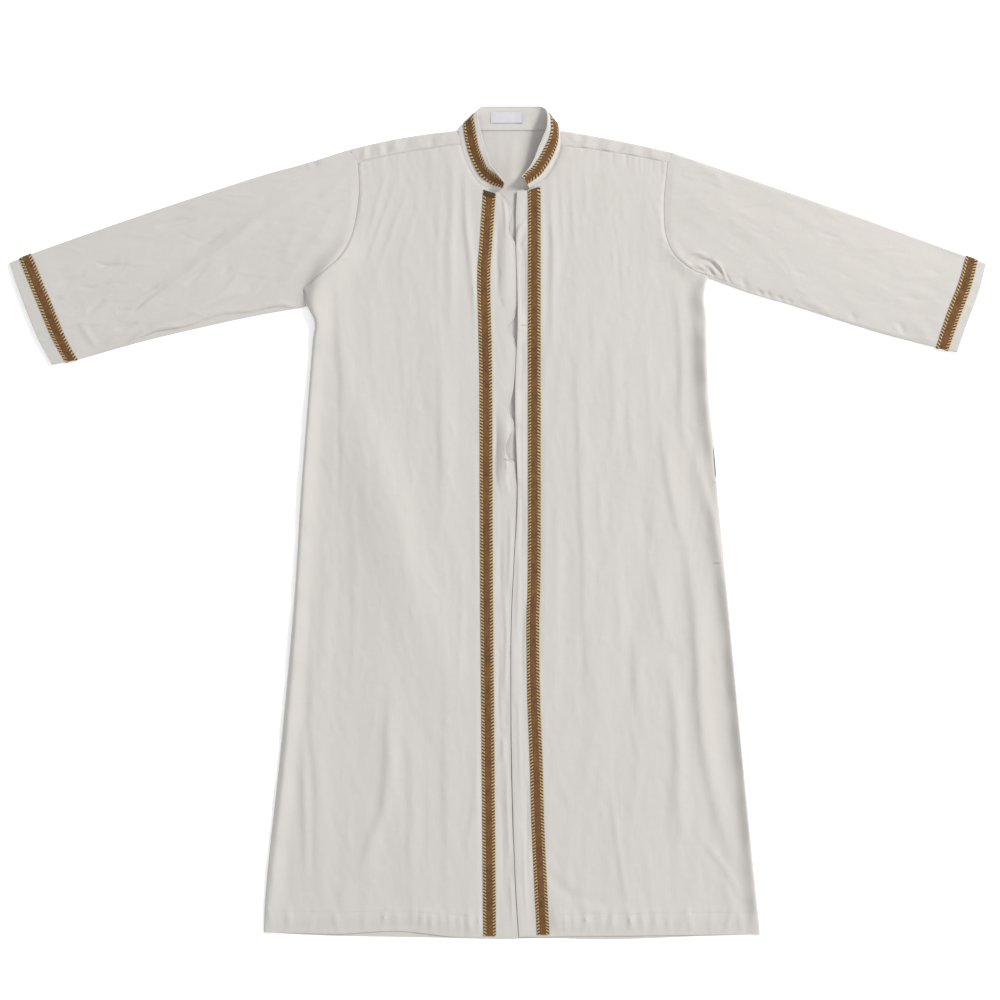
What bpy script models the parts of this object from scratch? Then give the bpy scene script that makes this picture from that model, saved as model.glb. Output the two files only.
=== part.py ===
# Thobe robe: a long open-fronted robe with a stand collar, laid flat on its back, front up.
# Metres, +Z up. +Y runs towards the collar, +X towards the wearer's left. The underside lies on z = 0.
# Sides are the wearer's. Each cut piece is one node, and neighbours are one seam gap apart.

import bpy
import numpy as np

MM = 0.001
CLOTH = 1.3 * MM            # one layer of the body cloth
COLLAR_WALL = 1.6 * MM      # two layers and their stiffener
GAP = 0.3 * MM              # between neighbouring pieces
STACK = 2 * CLOTH + GAP     # top of a front that lies on the back
FOLD_REACH = 2.5 * MM       # from a folded edge to where the cloth lies flat
BRAID_WIDTH = 20 * MM
BRAID_CORD = 4.5 * MM       # width of the raised cord along each edge of the braid
BRAID_CENTRE = 1.2 * MM
BRAID_RISE = 2.1 * MM       # braid at its cords
BRAID_FLAT = 11 * MM        # half width of the flat strip of front under a braid
BRAID_SHORT = 3.5 * MM      # from the neck seam and the hem's edge to the front braids' ends
COLLAR_STRIP = 8 * MM       # plain collar between the neck seam and the braid
CUFF_LIFT = BRAID_RISE + GAP
SLEEVE_CROWN = 1.2 * MM     # how far the middle of a sleeve's upper side stands over its edges
LABEL_SIZE = (51 * MM, 17 * MM, 0.6 * MM)
LABEL_CENTRE = (15 * MM, 628 * MM)
NECK_CENTRE = (19, 590)     # mm, middle of the neck opening
NECK_RADIUS = (79, 78)
NECK_LIFT = 3.4             # mm that the collar holds up the neck edge
NECK_EASE = 45              # mm over which that lift dies out
PLACKET_WAVE = 0.5 * MM     # the right placket's free edge lifts by up to four times this,
PLACKET_PITCH = 120 * MM    # once in this length
YOKE_BOW = 3                # mm that each front yoke seam bows up
SHOULDER_BOW = {-1: 4, 1: 2}                # mm that the right and left shoulder folds bow up
HEM_ARCH = (-155, 105, 7)   # mm: middle, half width and rise of the arch in the right front's hem

# Armholes, from the shoulder fold down to the underarm. Row 2 meets the yoke's front seam and row 4 its back
# seam. The last two rows are the sleeve's alone. Columns: x, y in mm.
RIGHT_ARMHOLE = ((-231, 578), (-221, 566), (-217, 558), (-215, 533), (-215, 507), (-219, 476), (-227, 443),
                 (-242, 415), (-262, 395), (-282, 379), (-301, 364), (-302, 350), (-301, 336))
LEFT_ARMHOLE = ((270, 574), (266, 565), (263.5, 558), (261, 533), (258.5, 507), (258, 478), (260, 452),
                (267, 428), (280, 409), (302, 393), (326, 384), (328, 381), (330, 378))
YOKE_FRONT_ROW = 2
YOKE_BACK_ROW = 4
UNDERARM_ROW = 10

# Sleeve outlines from the armhole to the cuff, and the cuff's edge from top to bottom. Columns: x, y in mm.
RIGHT_SLEEVE_TOP = ((-231, 578), (-298, 557), (-376, 535), (-531, 484), (-686, 430), (-756, 403))
RIGHT_SLEEVE_BOTTOM = ((-301, 336), (-391, 318), (-515, 290), (-577, 274), (-640, 256), (-684, 244))
RIGHT_CUFF = ((-756, 403), (-743, 360), (-712, 288), (-684, 244))
LEFT_SLEEVE_TOP = ((270, 574), (391, 533), (515, 490), (639, 445), (756, 402))
LEFT_SLEEVE_BOTTOM = ((330, 378), (391, 356), (453, 338), (577, 299), (639, 282), (711, 264))
LEFT_CUFF = ((756, 402), (751, 368), (734, 312), (711, 264))

# Side seams below the underarm: x at each y. Columns: y, x in mm. The hem's are x, y.
RIGHT_SIDE = ((364, -301), (337, -295), (310, -283), (284, -286), (211, -292), (158, -296), (42, -305),
              (-119, -315), (-352, -336), (-507, -353), (-584, -360), (-634, -362))
LEFT_SIDE = ((384, 326), (374, 320), (357, 319), (330, 323), (253, 325), (191, 328), (113, 336), (36, 342),
             (-119, 357), (-352, 379), (-507, 394), (-584, 402), (-637, 407))
HEM = ((-362, -634), (-267, -639), (-105, -642), (4, -644), (81, -643), (177, -645), (314, -640),
       (407, -637))

# Middle line of each front braid, where front and placket meet: x at each y. Columns: y, x in mm.
RIGHT_BRAID_LINE = ((516, -12), (432, -18), (374, -21), (223, -18), (-56, -17), (-298, -15), (-643, -12))
LEFT_BRAID_LINE = ((521, 56), (493, 57), (346, 57), (-56, 57), (-149, 55), (-262, 56), (-369, 60),
                   (-476, 63), (-641, 71))
# Free edge of the left placket, as y, x. The plackets' top edges, as x, y. How far the wavy right placket
# falls short of the left one, as y, gap. All in mm.
LEFT_PLACKET_EDGE = ((516, 30), (470, 28), (408, 29), (315, 31), (191, 27), (46, 31), (-57, 26), (-181, 21),
                     (-369, 22), (-538, 27), (-641, 33))
RIGHT_PLACKET_TOP = ((-12, 516), (-3, 513), (5, 511.5))
LEFT_PLACKET_TOP = ((30, 514.5), (45, 514.5), (56, 521))
PLACKET_GAP = ((512, 25), (500, 15), (482, 6), (456, 11), (438, 4), (424, 1), (330, 1.5), (304, 12),
               (284, 3), (262, 1), (214, 2), (175, 9), (152, 2.5), (116, 17), (90, 6), (70, 1), (-643, 1))

# Collar sections round the neck from the right front end to the left one.
# Columns: seam x, seam y, seam z, free edge x, free edge y, free edge z in mm, on the collar's outer side.
COLLAR = (
    (5, 512, 6.3, 11, 524, 33), (-3, 513.5, 6.3, 1, 537, 32), (-12, 516.5, 6.3, -7, 548, 30.5),
    (-30, 528, 6.3, -12, 556, 28), (-43, 548, 6.3, -17, 573, 25.5), (-52, 568, 6.3, -21, 587, 24),
    (-57, 586, 6.3, -24, 598, 23.5), (-59.4, 599, 7.2, -27, 610, 24), (-60.2, 607, 8.2, -29, 620, 23),
    (-60, 611.5, 6.6, -30.5, 630, 20.5), (-58, 613, 4, -30.5, 637.5, 17),
    (-52, 611.5, 2.2, -28, 642.5, 12.5),
    (-42, 609.5, 1.7, -23, 644.5, 9.2), (-28, 608, 1.6, -15, 645, 8), (-6, 608, 1.6, -1, 645, 8),
    (20, 608, 1.6, 20, 645, 8), (46, 608, 1.6, 42, 645, 8), (67, 608, 1.6, 58, 645, 8),
    (80, 609.5, 1.7, 67, 644.5, 9), (90, 611.5, 2.2, 73, 641.5, 12.5), (96, 612.5, 4, 76, 636, 17),
    (98, 610.5, 6.6, 77, 629, 21), (98.2, 605, 8.2, 77, 619, 24), (98.6, 597, 7.2, 75.5, 609, 25),
    (98.4, 584, 6.3, 69, 596, 25.5), (94, 569, 6.3, 60, 580, 26), (84, 549, 6.3, 52, 565, 26),
    (72, 533, 6.3, 46, 554, 27), (56, 521.5, 6.3, 41, 543, 27.5), (50, 518, 6.3, 37.5, 535, 28.5))
RIGHT_NECK_SECTIONS = (6, 5, 4, 3, 2)     # the right front's neck edge, from the yoke to the placket
LEFT_NECK_SECTIONS = (24, 25, 26, 27, 28)
RIGHT_SHOULDER_SECTION = 8
LEFT_SHOULDER_SECTION = 22
SHOULDER_Y = 607.6                        # mm, the shoulder fold at the neck
BACK_NECK_Y = 609.5                       # mm, the yoke's back neck edge, under the collar's seam

# Ridges in the cloth. Columns: start x, start y, end x, end y, half width, height in mm.
RIGHT_FRONT_FOLDS = (
    (-262, 330, -280, -90, 17, 4.5), (-232, 290, -132, 20, 26, 5), (-140, 60, -72, -270, 26, 5.5),
    (-84, 330, -82, -290, 11, 2.6), (-58, 565, -44, 300, 9, 3), (-74, 560, -76, 250, 12, 2.6),
    (-185, -230, -212, -570, 17, 4), (-282, -300, -288, -630, 14, 3.2), (-82, -300, -80, -600, 12, 2.8),
    (-150, 500, -190, 180, 24, 3))
LEFT_FRONT_FOLDS = (
    (84, 560, 80, 280, 9, 3.2), (104, 540, 112, 210, 12, 2.4), (232, 450, 246, 150, 26, 4),
    (134, 150, 158, -420, 17, 4), (258, 170, 350, -90, 17, 4.6), (272, -70, 384, -480, 20, 5),
    (276, -240, 314, -590, 17, 4), (196, 60, 214, -330, 20, 3), (176, -440, 208, -632, 12, 3),
    (98, -480, 112, -635, 12, 2.4))
RIGHT_SLEEVE_FOLDS = (
    (-312, 420, -540, 306, 16, 4.2), (-380, 470, -600, 340, 15, 3.2), (-520, 452, -690, 350, 14, 3),
    (-420, 340, -600, 292, 11, 2.6))
LEFT_SLEEVE_FOLDS = (
    (352, 486, 590, 404, 20, 3.2), (370, 410, 520, 352, 13, 2.6), (296, 436, 362, 384, 10, 5),
    (560, 396, 700, 340, 16, 2.4))

FRONT_COLUMNS = 17          # strips of each front outside the braid
NECK_ROWS = 4               # rows of a front beside the neck
CHEST_ROWS = 4              # rows between the neck and the underarm
UNDERARM_ROWS = 3
SKIRT_ROWS = 24
CHEST_LEVEL = {-1: 356, 1: 370}           # mm, y where the chest rows of the right and left front end
SKIRT_LEVEL = 284           # mm, y below which every row runs level
FOLD_EASE = 6               # folds rise to full height over this share of a front's width, one in six
HEM_SHARE = 0.3             # share of a fold's height that is left at the hem
PLACKET_STEPS = 3           # rows of the wavy placket for each row of the front
SLEEVE_STATIONS = 9         # stations between the armhole and the cuff's braid
CUFF_STATIONS = (72, 37, 13, 0)           # mm from the cuff's edge; the braid lies between the middle two
CUFF_BRAID = (35, 15)                     # mm from the cuff's edge to the braid's two sides
FINISHES = {                              # colour, roughness
    "cloth": ((0.66, 0.62, 0.57, 1), 0.9),
    "braid": ((0.20, 0.09, 0.04, 1), 0.7),
    "label": ((0.80, 0.79, 0.78, 1), 0.6),
}


def smooth(points, steps=12):
    """Catmull-Rom curve through the points, in metres."""
    p = np.array(points, float) * MM
    p = np.vstack((2 * p[0] - p[1], p, 2 * p[-1] - p[-2]))
    t = np.linspace(0, 1, steps, endpoint=False)[:, None]
    curve = []
    for a, b, c, d in zip(p, p[1:], p[2:], p[3:]):
        curve.append(0.5 * (2 * b + (c - a) * t + (2 * a - 5 * b + 4 * c - d) * t**2
                            + (3 * b - a - 3 * c + d) * t**3))
    return np.vstack(curve + [p[-2:-1]])


def lengths(curve):
    steps = np.linalg.norm(np.diff(curve, axis=0), axis=1)
    return np.concatenate(([0], np.cumsum(steps)))


def along(curve, distance):
    run = lengths(curve)
    return np.array([np.interp(distance, run, curve[:, i]) for i in range(curve.shape[1])]).T


def x_at(table, y):
    """x of a seam or edge given as a (y, x) table, at y in metres."""
    curve = smooth(table)[::-1]
    return np.interp(y, curve[:, 0], curve[:, 1])


def beside(points, distance):
    """The line that runs at a distance to the left of a line of points, seen from above."""
    step = np.diff(points, axis=0)
    normal = np.column_stack((-step[:, 1], step[:, 0])) / np.linalg.norm(step, axis=1)[:, None]
    before = np.vstack((normal[:1], normal))
    after = np.vstack((normal, normal[-1:]))
    return points + distance * (before + after) / (1 + (before * after).sum(axis=1))[:, None]


def fold_height(folds, x, y):
    """Height of the ridges over a point in metres. Each ridge tapers away at both ends."""
    height = 0
    for x0, y0, x1, y1, half_width, rise in folds:
        start = np.array((x0, y0)) * MM
        line = np.array((x1, y1)) * MM - start
        size = np.hypot(*line)
        part = ((x - start[0]) * line[0] + (y - start[1]) * line[1]) / size**2
        off = ((x - start[0]) * line[1] - (y - start[1]) * line[0]) / size
        taper = np.sin(np.pi * np.clip(part, 0, 1))
        height += rise * MM * taper * np.exp(-(off / (half_width * MM))**2)
    return height


def neck_lift(x, y):
    """How far the collar holds the cloth round the neck up."""
    ring = np.hypot((x / MM - NECK_CENTRE[0]) / NECK_RADIUS[0], (y / MM - NECK_CENTRE[1]) / NECK_RADIUS[1])
    away = max(0, ring - 1) * NECK_RADIUS[0] / NECK_EASE
    return NECK_LIFT * MM * np.exp(-away**2)


def finish(name):
    material = bpy.data.materials.get(name) or bpy.data.materials.new(name)
    material.use_nodes = True
    shader = material.node_tree.nodes["Principled BSDF"]
    shader.inputs["Base Color"].default_value = FINISHES[name][0]
    shader.inputs["Roughness"].default_value = FINISHES[name][1]
    return material


def add_object(name, mesh, look):
    node = bpy.data.objects.new(name, mesh)
    mesh.materials.append(finish(look))
    robe.objects.link(node)
    return node


def cloth_wall(name, places, thickness, ring=0):
    """One piece of cloth: its outer side as a net of places by (row, column), given its thickness inwards.

    A ring of that many columns closes on itself. A place that is missing leaves a notch in the net.
    """
    keys = sorted(places)
    number = {key: i for i, key in enumerate(keys)}
    faces = []
    for row, column in keys:
        after = (column + 1) % ring if ring else column + 1
        corners = [(row, column), (row, after), (row + 1, after), (row + 1, column)]
        if all(corner in number for corner in corners):
            faces.append([number[corner] for corner in corners])
    mesh = bpy.data.meshes.new(name)
    mesh.from_pydata([places[key] for key in keys], [], faces)
    node = add_object(name, mesh, "cloth")
    wall = node.modifiers.new("wall", "SOLIDIFY")
    wall.thickness = thickness
    wall.offset = -1
    return node


def loft(name, sections, look, closed=False):
    """A solid through like rings of points, with flat ends unless it closes on itself."""
    count = len(sections[0])
    last = len(sections) if closed else len(sections) - 1
    faces = []
    for s in range(last):
        here = s * count
        there = (s + 1) % len(sections) * count
        for i in range(count):
            after = (i + 1) % count
            faces.append((here + i, here + after, there + after, there + i))
    if not closed:
        faces.append(tuple(range(count))[::-1])
        faces.append(tuple(range(last * count, (last + 1) * count)))
    mesh = bpy.data.meshes.new(name)
    mesh.from_pydata([tuple(point) for section in sections for point in section], [], faces)
    mesh.shade_smooth()
    mesh.set_sharp_from_angle(angle=np.radians(40))
    return add_object(name, mesh, look)


def braid_profile():
    """Across the braid and up from its base: two raised cords with the flat middle between them."""
    half = BRAID_WIDTH / 2
    crest = BRAID_CORD / 4
    right = [(half, 0), (half, BRAID_RISE / 2), (half - crest, BRAID_RISE),
             (half - BRAID_CORD + crest, BRAID_RISE), (half - BRAID_CORD, BRAID_CENTRE)]
    left = [(-across, up) for across, up in reversed(right)]
    return right + left


class Side:
    """The seams and rows that the pieces of one half of the robe share. Sign is -1 on the right."""

    def __init__(self, sign, armhole, side_seam, braid_line, neck_sections):
        self.sign = sign
        self.shoulder_bow = SHOULDER_BOW[sign]
        self.armhole = np.array(armhole, float) * MM
        self.body_armhole = beside(self.armhole[:UNDERARM_ROW + 1], -sign * GAP)
        self.braid_line = braid_line
        neck = np.array([COLLAR[i][:2] for i in neck_sections], float) * MM
        self.neck = beside(neck, sign * GAP)
        hem_side = side_seam[-1][0] * MM
        hem_braid = braid_line[-1][0] * MM
        low = self.body_armhole[-1, 1]
        join = SKIRT_LEVEL * MM
        down = np.concatenate((np.linspace(low, join, UNDERARM_ROWS + 1)[1:],
                               np.linspace(join, hem_side, SKIRT_ROWS + 1)[1:]))
        seam = np.column_stack((x_at(side_seam, down), down))
        self.outer = np.vstack((self.body_armhole[YOKE_FRONT_ROW:], seam))
        top = self.neck[-1, 1]
        chest = CHEST_LEVEL[sign] * MM
        self.levels = np.concatenate((np.linspace(top, chest, CHEST_ROWS + 1),
                                      np.linspace(chest, join, UNDERARM_ROWS + 1)[1:],
                                      np.linspace(join, hem_braid, SKIRT_ROWS + 1)[1:]))
        self.heights = np.array([STACK + neck_lift(x_at(braid_line, y), y) for y in self.levels])

    def centre(self, y):
        return x_at(self.braid_line, y)

    def centre_height(self, y):
        return np.interp(y, self.levels[::-1], self.heights[::-1])


def make_front(name, half, folds, arch=(0, 1, 0)):
    """A front: rows from the armhole and side seam to the neck and the braid, over its own folds."""
    places = {}
    rows = len(half.outer)
    for row in range(rows):
        outer = half.outer[row]
        if row < NECK_ROWS:
            edge = half.neck[row]
            inner = edge + (outer - edge) / np.linalg.norm(outer - edge) * BRAID_FLAT
        else:
            level = half.levels[row - NECK_ROWS]
            edge = np.array((half.centre(level) + half.sign * GAP / 2, level))
            inner = edge + (half.sign * BRAID_FLAT, 0)
        bow = YOKE_BOW * MM * max(0, 1 - row / NECK_ROWS)
        for column in range(FRONT_COLUMNS + 1):
            part = column / FRONT_COLUMNS
            x, y = outer + (inner - outer) * part
            y += bow * 4 * part * (1 - part)
            y += arch_rise(arch, x) * max(0, row - rows + 3) / 2
            ease = min(1, FOLD_EASE * part, FOLD_EASE * (1 - part))
            ease *= min(1, row / 2, HEM_SHARE + (rows - 1 - row) / 2)
            z = STACK + neck_lift(x, y) + ease * fold_height(folds, x, y)
            if row >= NECK_ROWS and column == FRONT_COLUMNS:
                z = half.centre_height(y)
            places[row, column] = (x, y, z)
        z = half.centre_height(edge[1]) if row >= NECK_ROWS else STACK + neck_lift(*edge)
        places[row, FRONT_COLUMNS + 1] = (*edge, z)
    turn_up(cloth_wall(name, places, CLOTH))


def arch_rise(arch, x):
    middle, half_width, rise = arch
    off = np.clip((x / MM - middle) / half_width, -1, 1)
    return rise * MM * (0.5 + 0.5 * np.cos(np.pi * off))


def turn_up(node):
    """Turns a piece's faces so that its outer side is the upper one, or leaves them if it is already."""
    mesh = node.data
    if mesh.polygons[len(mesh.polygons) // 2].normal.z < 0:
        mesh.flip_normals()


def make_placket(name, half, levels, top, edge_x, wave):
    """A strip from under the braid's middle to the free edge of the front, below the collar's front end."""
    top_x, top_y = np.array(top).T * MM
    places = {}
    for row, level in enumerate(levels):
        seam = half.centre(level) - half.sign * GAP / 2
        flat = seam - half.sign * BRAID_FLAT
        free = edge_x(level)
        for column, x in enumerate((seam, flat, (flat + free) / 2, free)):
            z = half.centre_height(level)
            if column > 1:
                z += wave(level) * (column - 1)
            y = np.interp(x, top_x, top_y) if row == 0 else level
            places[row, column] = (x, y, z)
    turn_up(cloth_wall(name, places, CLOTH))


def make_front_braid(name, half):
    """Braid down a front, over the seam between front and placket, from the collar to the hem."""
    start = half.levels[0] - BRAID_SHORT
    levels = [start] + [y for y in half.levels if y < start - BRAID_FLAT]
    levels[-1] += BRAID_SHORT
    sections = []
    for y in levels:
        x = half.centre(y)
        z = half.centre_height(y) + GAP
        sections.append([(x + across, y, z + up) for across, up in braid_profile()])
    loft(name, sections, "braid")


def sleeve_rings(half, top, bottom, cuff, folds):
    """The sleeve's outer side as rings of points, from the armhole to the cuff."""
    top = smooth(top)
    bottom = smooth(bottom)
    cuff = smooth(cuff)
    armhole = half.armhole
    across = lengths(armhole) / lengths(armhole)[-1]
    cuff_points = along(cuff, across * lengths(cuff)[-1])
    sides = []
    for edge in (top, bottom):
        far = lengths(edge)[-1]
        near_cuff = far - np.array(CUFF_STATIONS) * MM
        sides.append(np.concatenate((np.linspace(0, near_cuff[0], SLEEVE_STATIONS), near_cuff[1:])))
    tops = along(top, sides[0])
    bottoms = along(bottom, sides[1])
    share = sides[0] / sides[0][-1]
    rings = []
    for s, u in enumerate(share):
        line = (1 - u) * armhole + u * cuff_points
        fit_top = tops[s] - line[0]
        fit_bottom = bottoms[s] - line[-1]
        line = line + (1 - across)[:, None] * fit_top + across[:, None] * fit_bottom
        lift = CUFF_LIFT * min(1, max(0, (s - SLEEVE_STATIONS + 1)))
        rings.append(flat_ring(line, across, lift, folds, min(1, s / 2)))
    return rings


def fold_start(edge, inside):
    """Where the cloth lies flat again beside a folded edge, short of the next point inside."""
    step = inside - edge
    size = np.linalg.norm(step)
    return edge + step / size * min(FOLD_REACH, 0.6 * size)


def flat_ring(line, across, lift, folds, ease):
    """A flattened tube across a line of points: its lower side, then its upper side back."""
    flat = [fold_start(line[0], line[1]), *line[1:-1], fold_start(line[-1], line[-2])]
    share = [0, *across[1:-1], 1]
    under = [(x, y, lift) for x, y in flat]
    over = []
    for (x, y), v in zip(flat, share):
        rise = ease * np.sin(np.pi * v)**0.7 * (fold_height(folds, x, y) + SLEEVE_CROWN)
        over.append((x, y, lift + STACK + rise))
    middle = lift + STACK / 2
    return np.array([(*line[0], middle), *under, (*line[-1], middle), *over[::-1]])


def make_sleeve(name, half, rings):
    places = {}
    for row, ring in enumerate(rings):
        for column, point in enumerate(ring):
            places[row, column] = tuple(point)
    node = cloth_wall(name, places, CLOTH, ring=len(rings[0]))
    if half.sign > 0:
        node.data.flip_normals()


def moved_out(ring, axis, distance):
    """A closed ring of points moved outwards square to its sides, at every point of it."""
    step = np.roll(ring, -1, axis=0) - ring
    normal = np.cross(step, axis)
    normal = normal / np.linalg.norm(normal, axis=1)[:, None]
    before = np.roll(normal, 1, axis=0)
    return ring + distance * (before + normal) / (1 + (before * normal).sum(axis=1))[:, None]


def make_cuff_braid(name, half, rings):
    """Braid right round the sleeve, made from the sleeve's own points near the cuff."""
    inner, outer = rings[-3], rings[-2]
    inner_at, outer_at = CUFF_STATIONS[-3:-1]
    axis = (inner - outer).mean(axis=0) * half.sign
    sections = []
    for across, up in braid_profile():
        from_cuff = (CUFF_BRAID[0] + CUFF_BRAID[1]) / 2 - across / MM
        part = (inner_at - from_cuff) / (inner_at - outer_at)
        sections.append(moved_out(inner + (outer - inner) * part, axis, GAP + up))
    sections = np.array(sections).transpose(1, 0, 2)
    if half.sign > 0:
        sections = sections[::-1]
    loft(name, sections, "braid", closed=True)


def make_yoke(right, left):
    """The yoke: its back part flat below, folded over each shoulder into a narrow front strip."""
    columns = 7
    middle = 8
    places = {}
    for half, first, section in ((right, 0, RIGHT_SHOULDER_SECTION),
                                 (left, columns + middle, LEFT_SHOULDER_SECTION)):
        arm = half.body_armhole
        shoulder = np.array((COLLAR[section][0] * MM + half.sign * GAP, SHOULDER_Y * MM))
        neck_front = half.neck[0] + (0, GAP)
        neck_side = (shoulder, fold_start(shoulder, neck_front), (shoulder + neck_front) / 2, neck_front)
        clear = (-2 * half.sign * GAP, 0)   # the folded ends slant towards each other
        arm_side = (arm[0] + clear, fold_start(arm[0], arm[1]) + clear, arm[1],
                    arm[YOKE_FRONT_ROW] + (0, GAP))
        for step in range(columns):
            part = step / (columns - 1)
            column = first + (step if half.sign < 0 else columns - 1 - step)
            bow = 4 * part * (1 - part) * MM
            fold, near, strip, front = [a + (b - a) * part for a, b in zip(arm_side, neck_side)]
            front = front + (0, YOKE_BOW * bow)
            strip = strip + (0, (YOKE_BOW + half.shoulder_bow) / 2 * bow)
            near = near + (0, half.shoulder_bow * bow)
            fold = fold + (0, half.shoulder_bow * bow)
            for row, point in enumerate((front, strip, near)):
                places[row, column] = (*point, STACK + neck_lift(*point))
            places[3, column] = (*fold, places[2, column][2] / 2)
            places[4, column] = (*near, 0)
            for row in range(1, YOKE_BACK_ROW + 1):
                level = near[1] + (arm[YOKE_BACK_ROW, 1] - near[1]) * row / YOKE_BACK_ROW
                x, y = arm[row] + ((shoulder[0], level) - arm[row]) * part
                places[4 + row, column] = (x, y, 0)
    for step in range(middle):
        part = (step + 1) / (middle + 1)
        for row in range(YOKE_BACK_ROW + 1):
            start = np.array(places[4 + row, columns - 1])
            x, y, z = start + (places[4 + row, columns + middle] - start) * part
            places[4 + row, columns + step] = (x, BACK_NECK_Y * MM if row == 0 else y, z)
    node = cloth_wall("yoke", places, CLOTH)
    if node.data.polygons[0].normal.z < 0:
        node.data.flip_normals()


def make_back(right, left):
    """The back panel: a flat outline below the yoke's back seam."""
    skip = YOKE_BACK_ROW - YOKE_FRONT_ROW
    outline = np.vstack((right.outer[skip:-1], np.array(HEM, float) * MM, left.outer[skip:-1][::-1]))
    outline[0, 1] -= GAP
    outline[-1, 1] -= GAP
    curve = bpy.data.curves.new("back", "CURVE")
    curve.dimensions = "2D"
    curve.fill_mode = "BOTH"
    curve.extrude = CLOTH / 2
    spline = curve.splines.new("POLY")
    spline.points.add(len(outline) - 1)
    for point, (x, y) in zip(spline.points, outline):
        point.co = (x, y, 0, 1)
    spline.use_cyclic_u = True
    node = add_object("back", curve, "cloth")
    node.location.z = CLOTH / 2


def collar_lines():
    """The neck seam and the free edge of the collar's outer side, section by section."""
    table = np.array(COLLAR, float) * MM
    return table[:, :3], table[:, 3:]


def make_collar():
    """The stand collar, a band through its sections, open at the front."""
    seam, edge = collar_lines()
    places = {}
    for row in range(len(seam)):
        height = np.linalg.norm(edge[row] - seam[row])
        above = COLLAR_STRIP + BRAID_WIDTH + GAP
        for column, up in enumerate((height, above, COLLAR_STRIP - GAP, 0)):
            places[row, column] = tuple(seam[row] + (edge[row] - seam[row]) * up / height)
    node = cloth_wall("collar", places, COLLAR_WALL)
    if node.data.polygons[0].normal.z < 0:
        node.data.flip_normals()


def collar_out(seam, edge):
    """The direction out of the collar at each section."""
    step = np.gradient(seam + edge, axis=0)
    out = np.cross(edge - seam, step)
    return out / np.linalg.norm(out, axis=1)[:, None]


def make_collar_braid():
    """Braid round the outside of the collar, made from the collar's own sections."""
    seam, edge = collar_lines()
    out = collar_out(seam, edge)
    rise = (edge - seam) / np.linalg.norm(edge - seam, axis=1)[:, None]
    middle = COLLAR_STRIP + BRAID_WIDTH / 2
    sections = []
    for s in range(len(seam)):
        section = []
        for across, up in braid_profile():
            section.append(seam[s] + rise[s] * (middle - across) + out[s] * (2 * GAP + up))
        sections.append(section)
    loft("collar_braid", sections, "braid")


def make_label():
    """A blank woven label inside the back of the collar."""
    seam, edge = collar_lines()
    back = len(seam) // 2
    rise = edge[back] - seam[back]
    tilt = np.arctan2(rise[2], rise[1])
    part = (LABEL_CENTRE[1] - seam[back][1]) / rise[1]
    on_outer = seam[back][2] + rise[2] * part
    up = (COLLAR_WALL + GAP + LABEL_SIZE[2] / 2) / np.cos(tilt)
    bpy.ops.mesh.primitive_cube_add(size=1, location=(*LABEL_CENTRE, on_outer + up), rotation=(tilt, 0, 0))
    node = bpy.context.object
    node.name = "neck_label"
    node.data.name = "neck_label"
    node.scale = LABEL_SIZE
    node.data.materials.append(finish("label"))
    for home in node.users_collection:
        home.objects.unlink(node)
    robe.objects.link(node)


for old in list(bpy.data.objects):
    bpy.data.objects.remove(old)
robe = bpy.data.collections.new("thobe_robe")
bpy.context.scene.collection.children.link(robe)

right = Side(-1, RIGHT_ARMHOLE, RIGHT_SIDE, RIGHT_BRAID_LINE, RIGHT_NECK_SECTIONS)
left = Side(1, LEFT_ARMHOLE, LEFT_SIDE, LEFT_BRAID_LINE, LEFT_NECK_SECTIONS)

make_back(right, left)
make_yoke(right, left)
make_front("right_front", right, RIGHT_FRONT_FOLDS, HEM_ARCH)
make_front("left_front", left, LEFT_FRONT_FOLDS)

fine_levels = np.interp(np.arange(0, (len(right.levels) - 1) * PLACKET_STEPS + 1) / PLACKET_STEPS,
                        np.arange(len(right.levels)), right.levels)


def right_edge(y):
    gap_y, gap = np.array(PLACKET_GAP[::-1]).T * MM
    return left_edge(y) - np.interp(y, gap_y, gap)


def left_edge(y):
    return x_at(LEFT_PLACKET_EDGE, y)


def right_wave(y):
    return PLACKET_WAVE * (1 + np.sin(2 * np.pi * y / PLACKET_PITCH))


def no_wave(y):
    return 0


make_placket("right_placket", right, fine_levels, RIGHT_PLACKET_TOP, right_edge, right_wave)
make_placket("left_placket", left, left.levels, LEFT_PLACKET_TOP, left_edge, no_wave)
make_front_braid("right_front_braid", right)
make_front_braid("left_front_braid", left)

right_rings = sleeve_rings(right, RIGHT_SLEEVE_TOP, RIGHT_SLEEVE_BOTTOM, RIGHT_CUFF, RIGHT_SLEEVE_FOLDS)
left_rings = sleeve_rings(left, LEFT_SLEEVE_TOP, LEFT_SLEEVE_BOTTOM, LEFT_CUFF, LEFT_SLEEVE_FOLDS)
make_sleeve("right_sleeve", right, right_rings)
make_sleeve("left_sleeve", left, left_rings)
make_cuff_braid("right_cuff_braid", right, right_rings)
make_cuff_braid("left_cuff_braid", left, left_rings)
make_collar()
make_collar_braid()
make_label()
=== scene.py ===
# Thobe robe laid flat on its back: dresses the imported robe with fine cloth, braid, sewing and light.
# Metres, +Z up, +Y towards the collar, +X towards the wearer's left. Sides are the wearer's.

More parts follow.
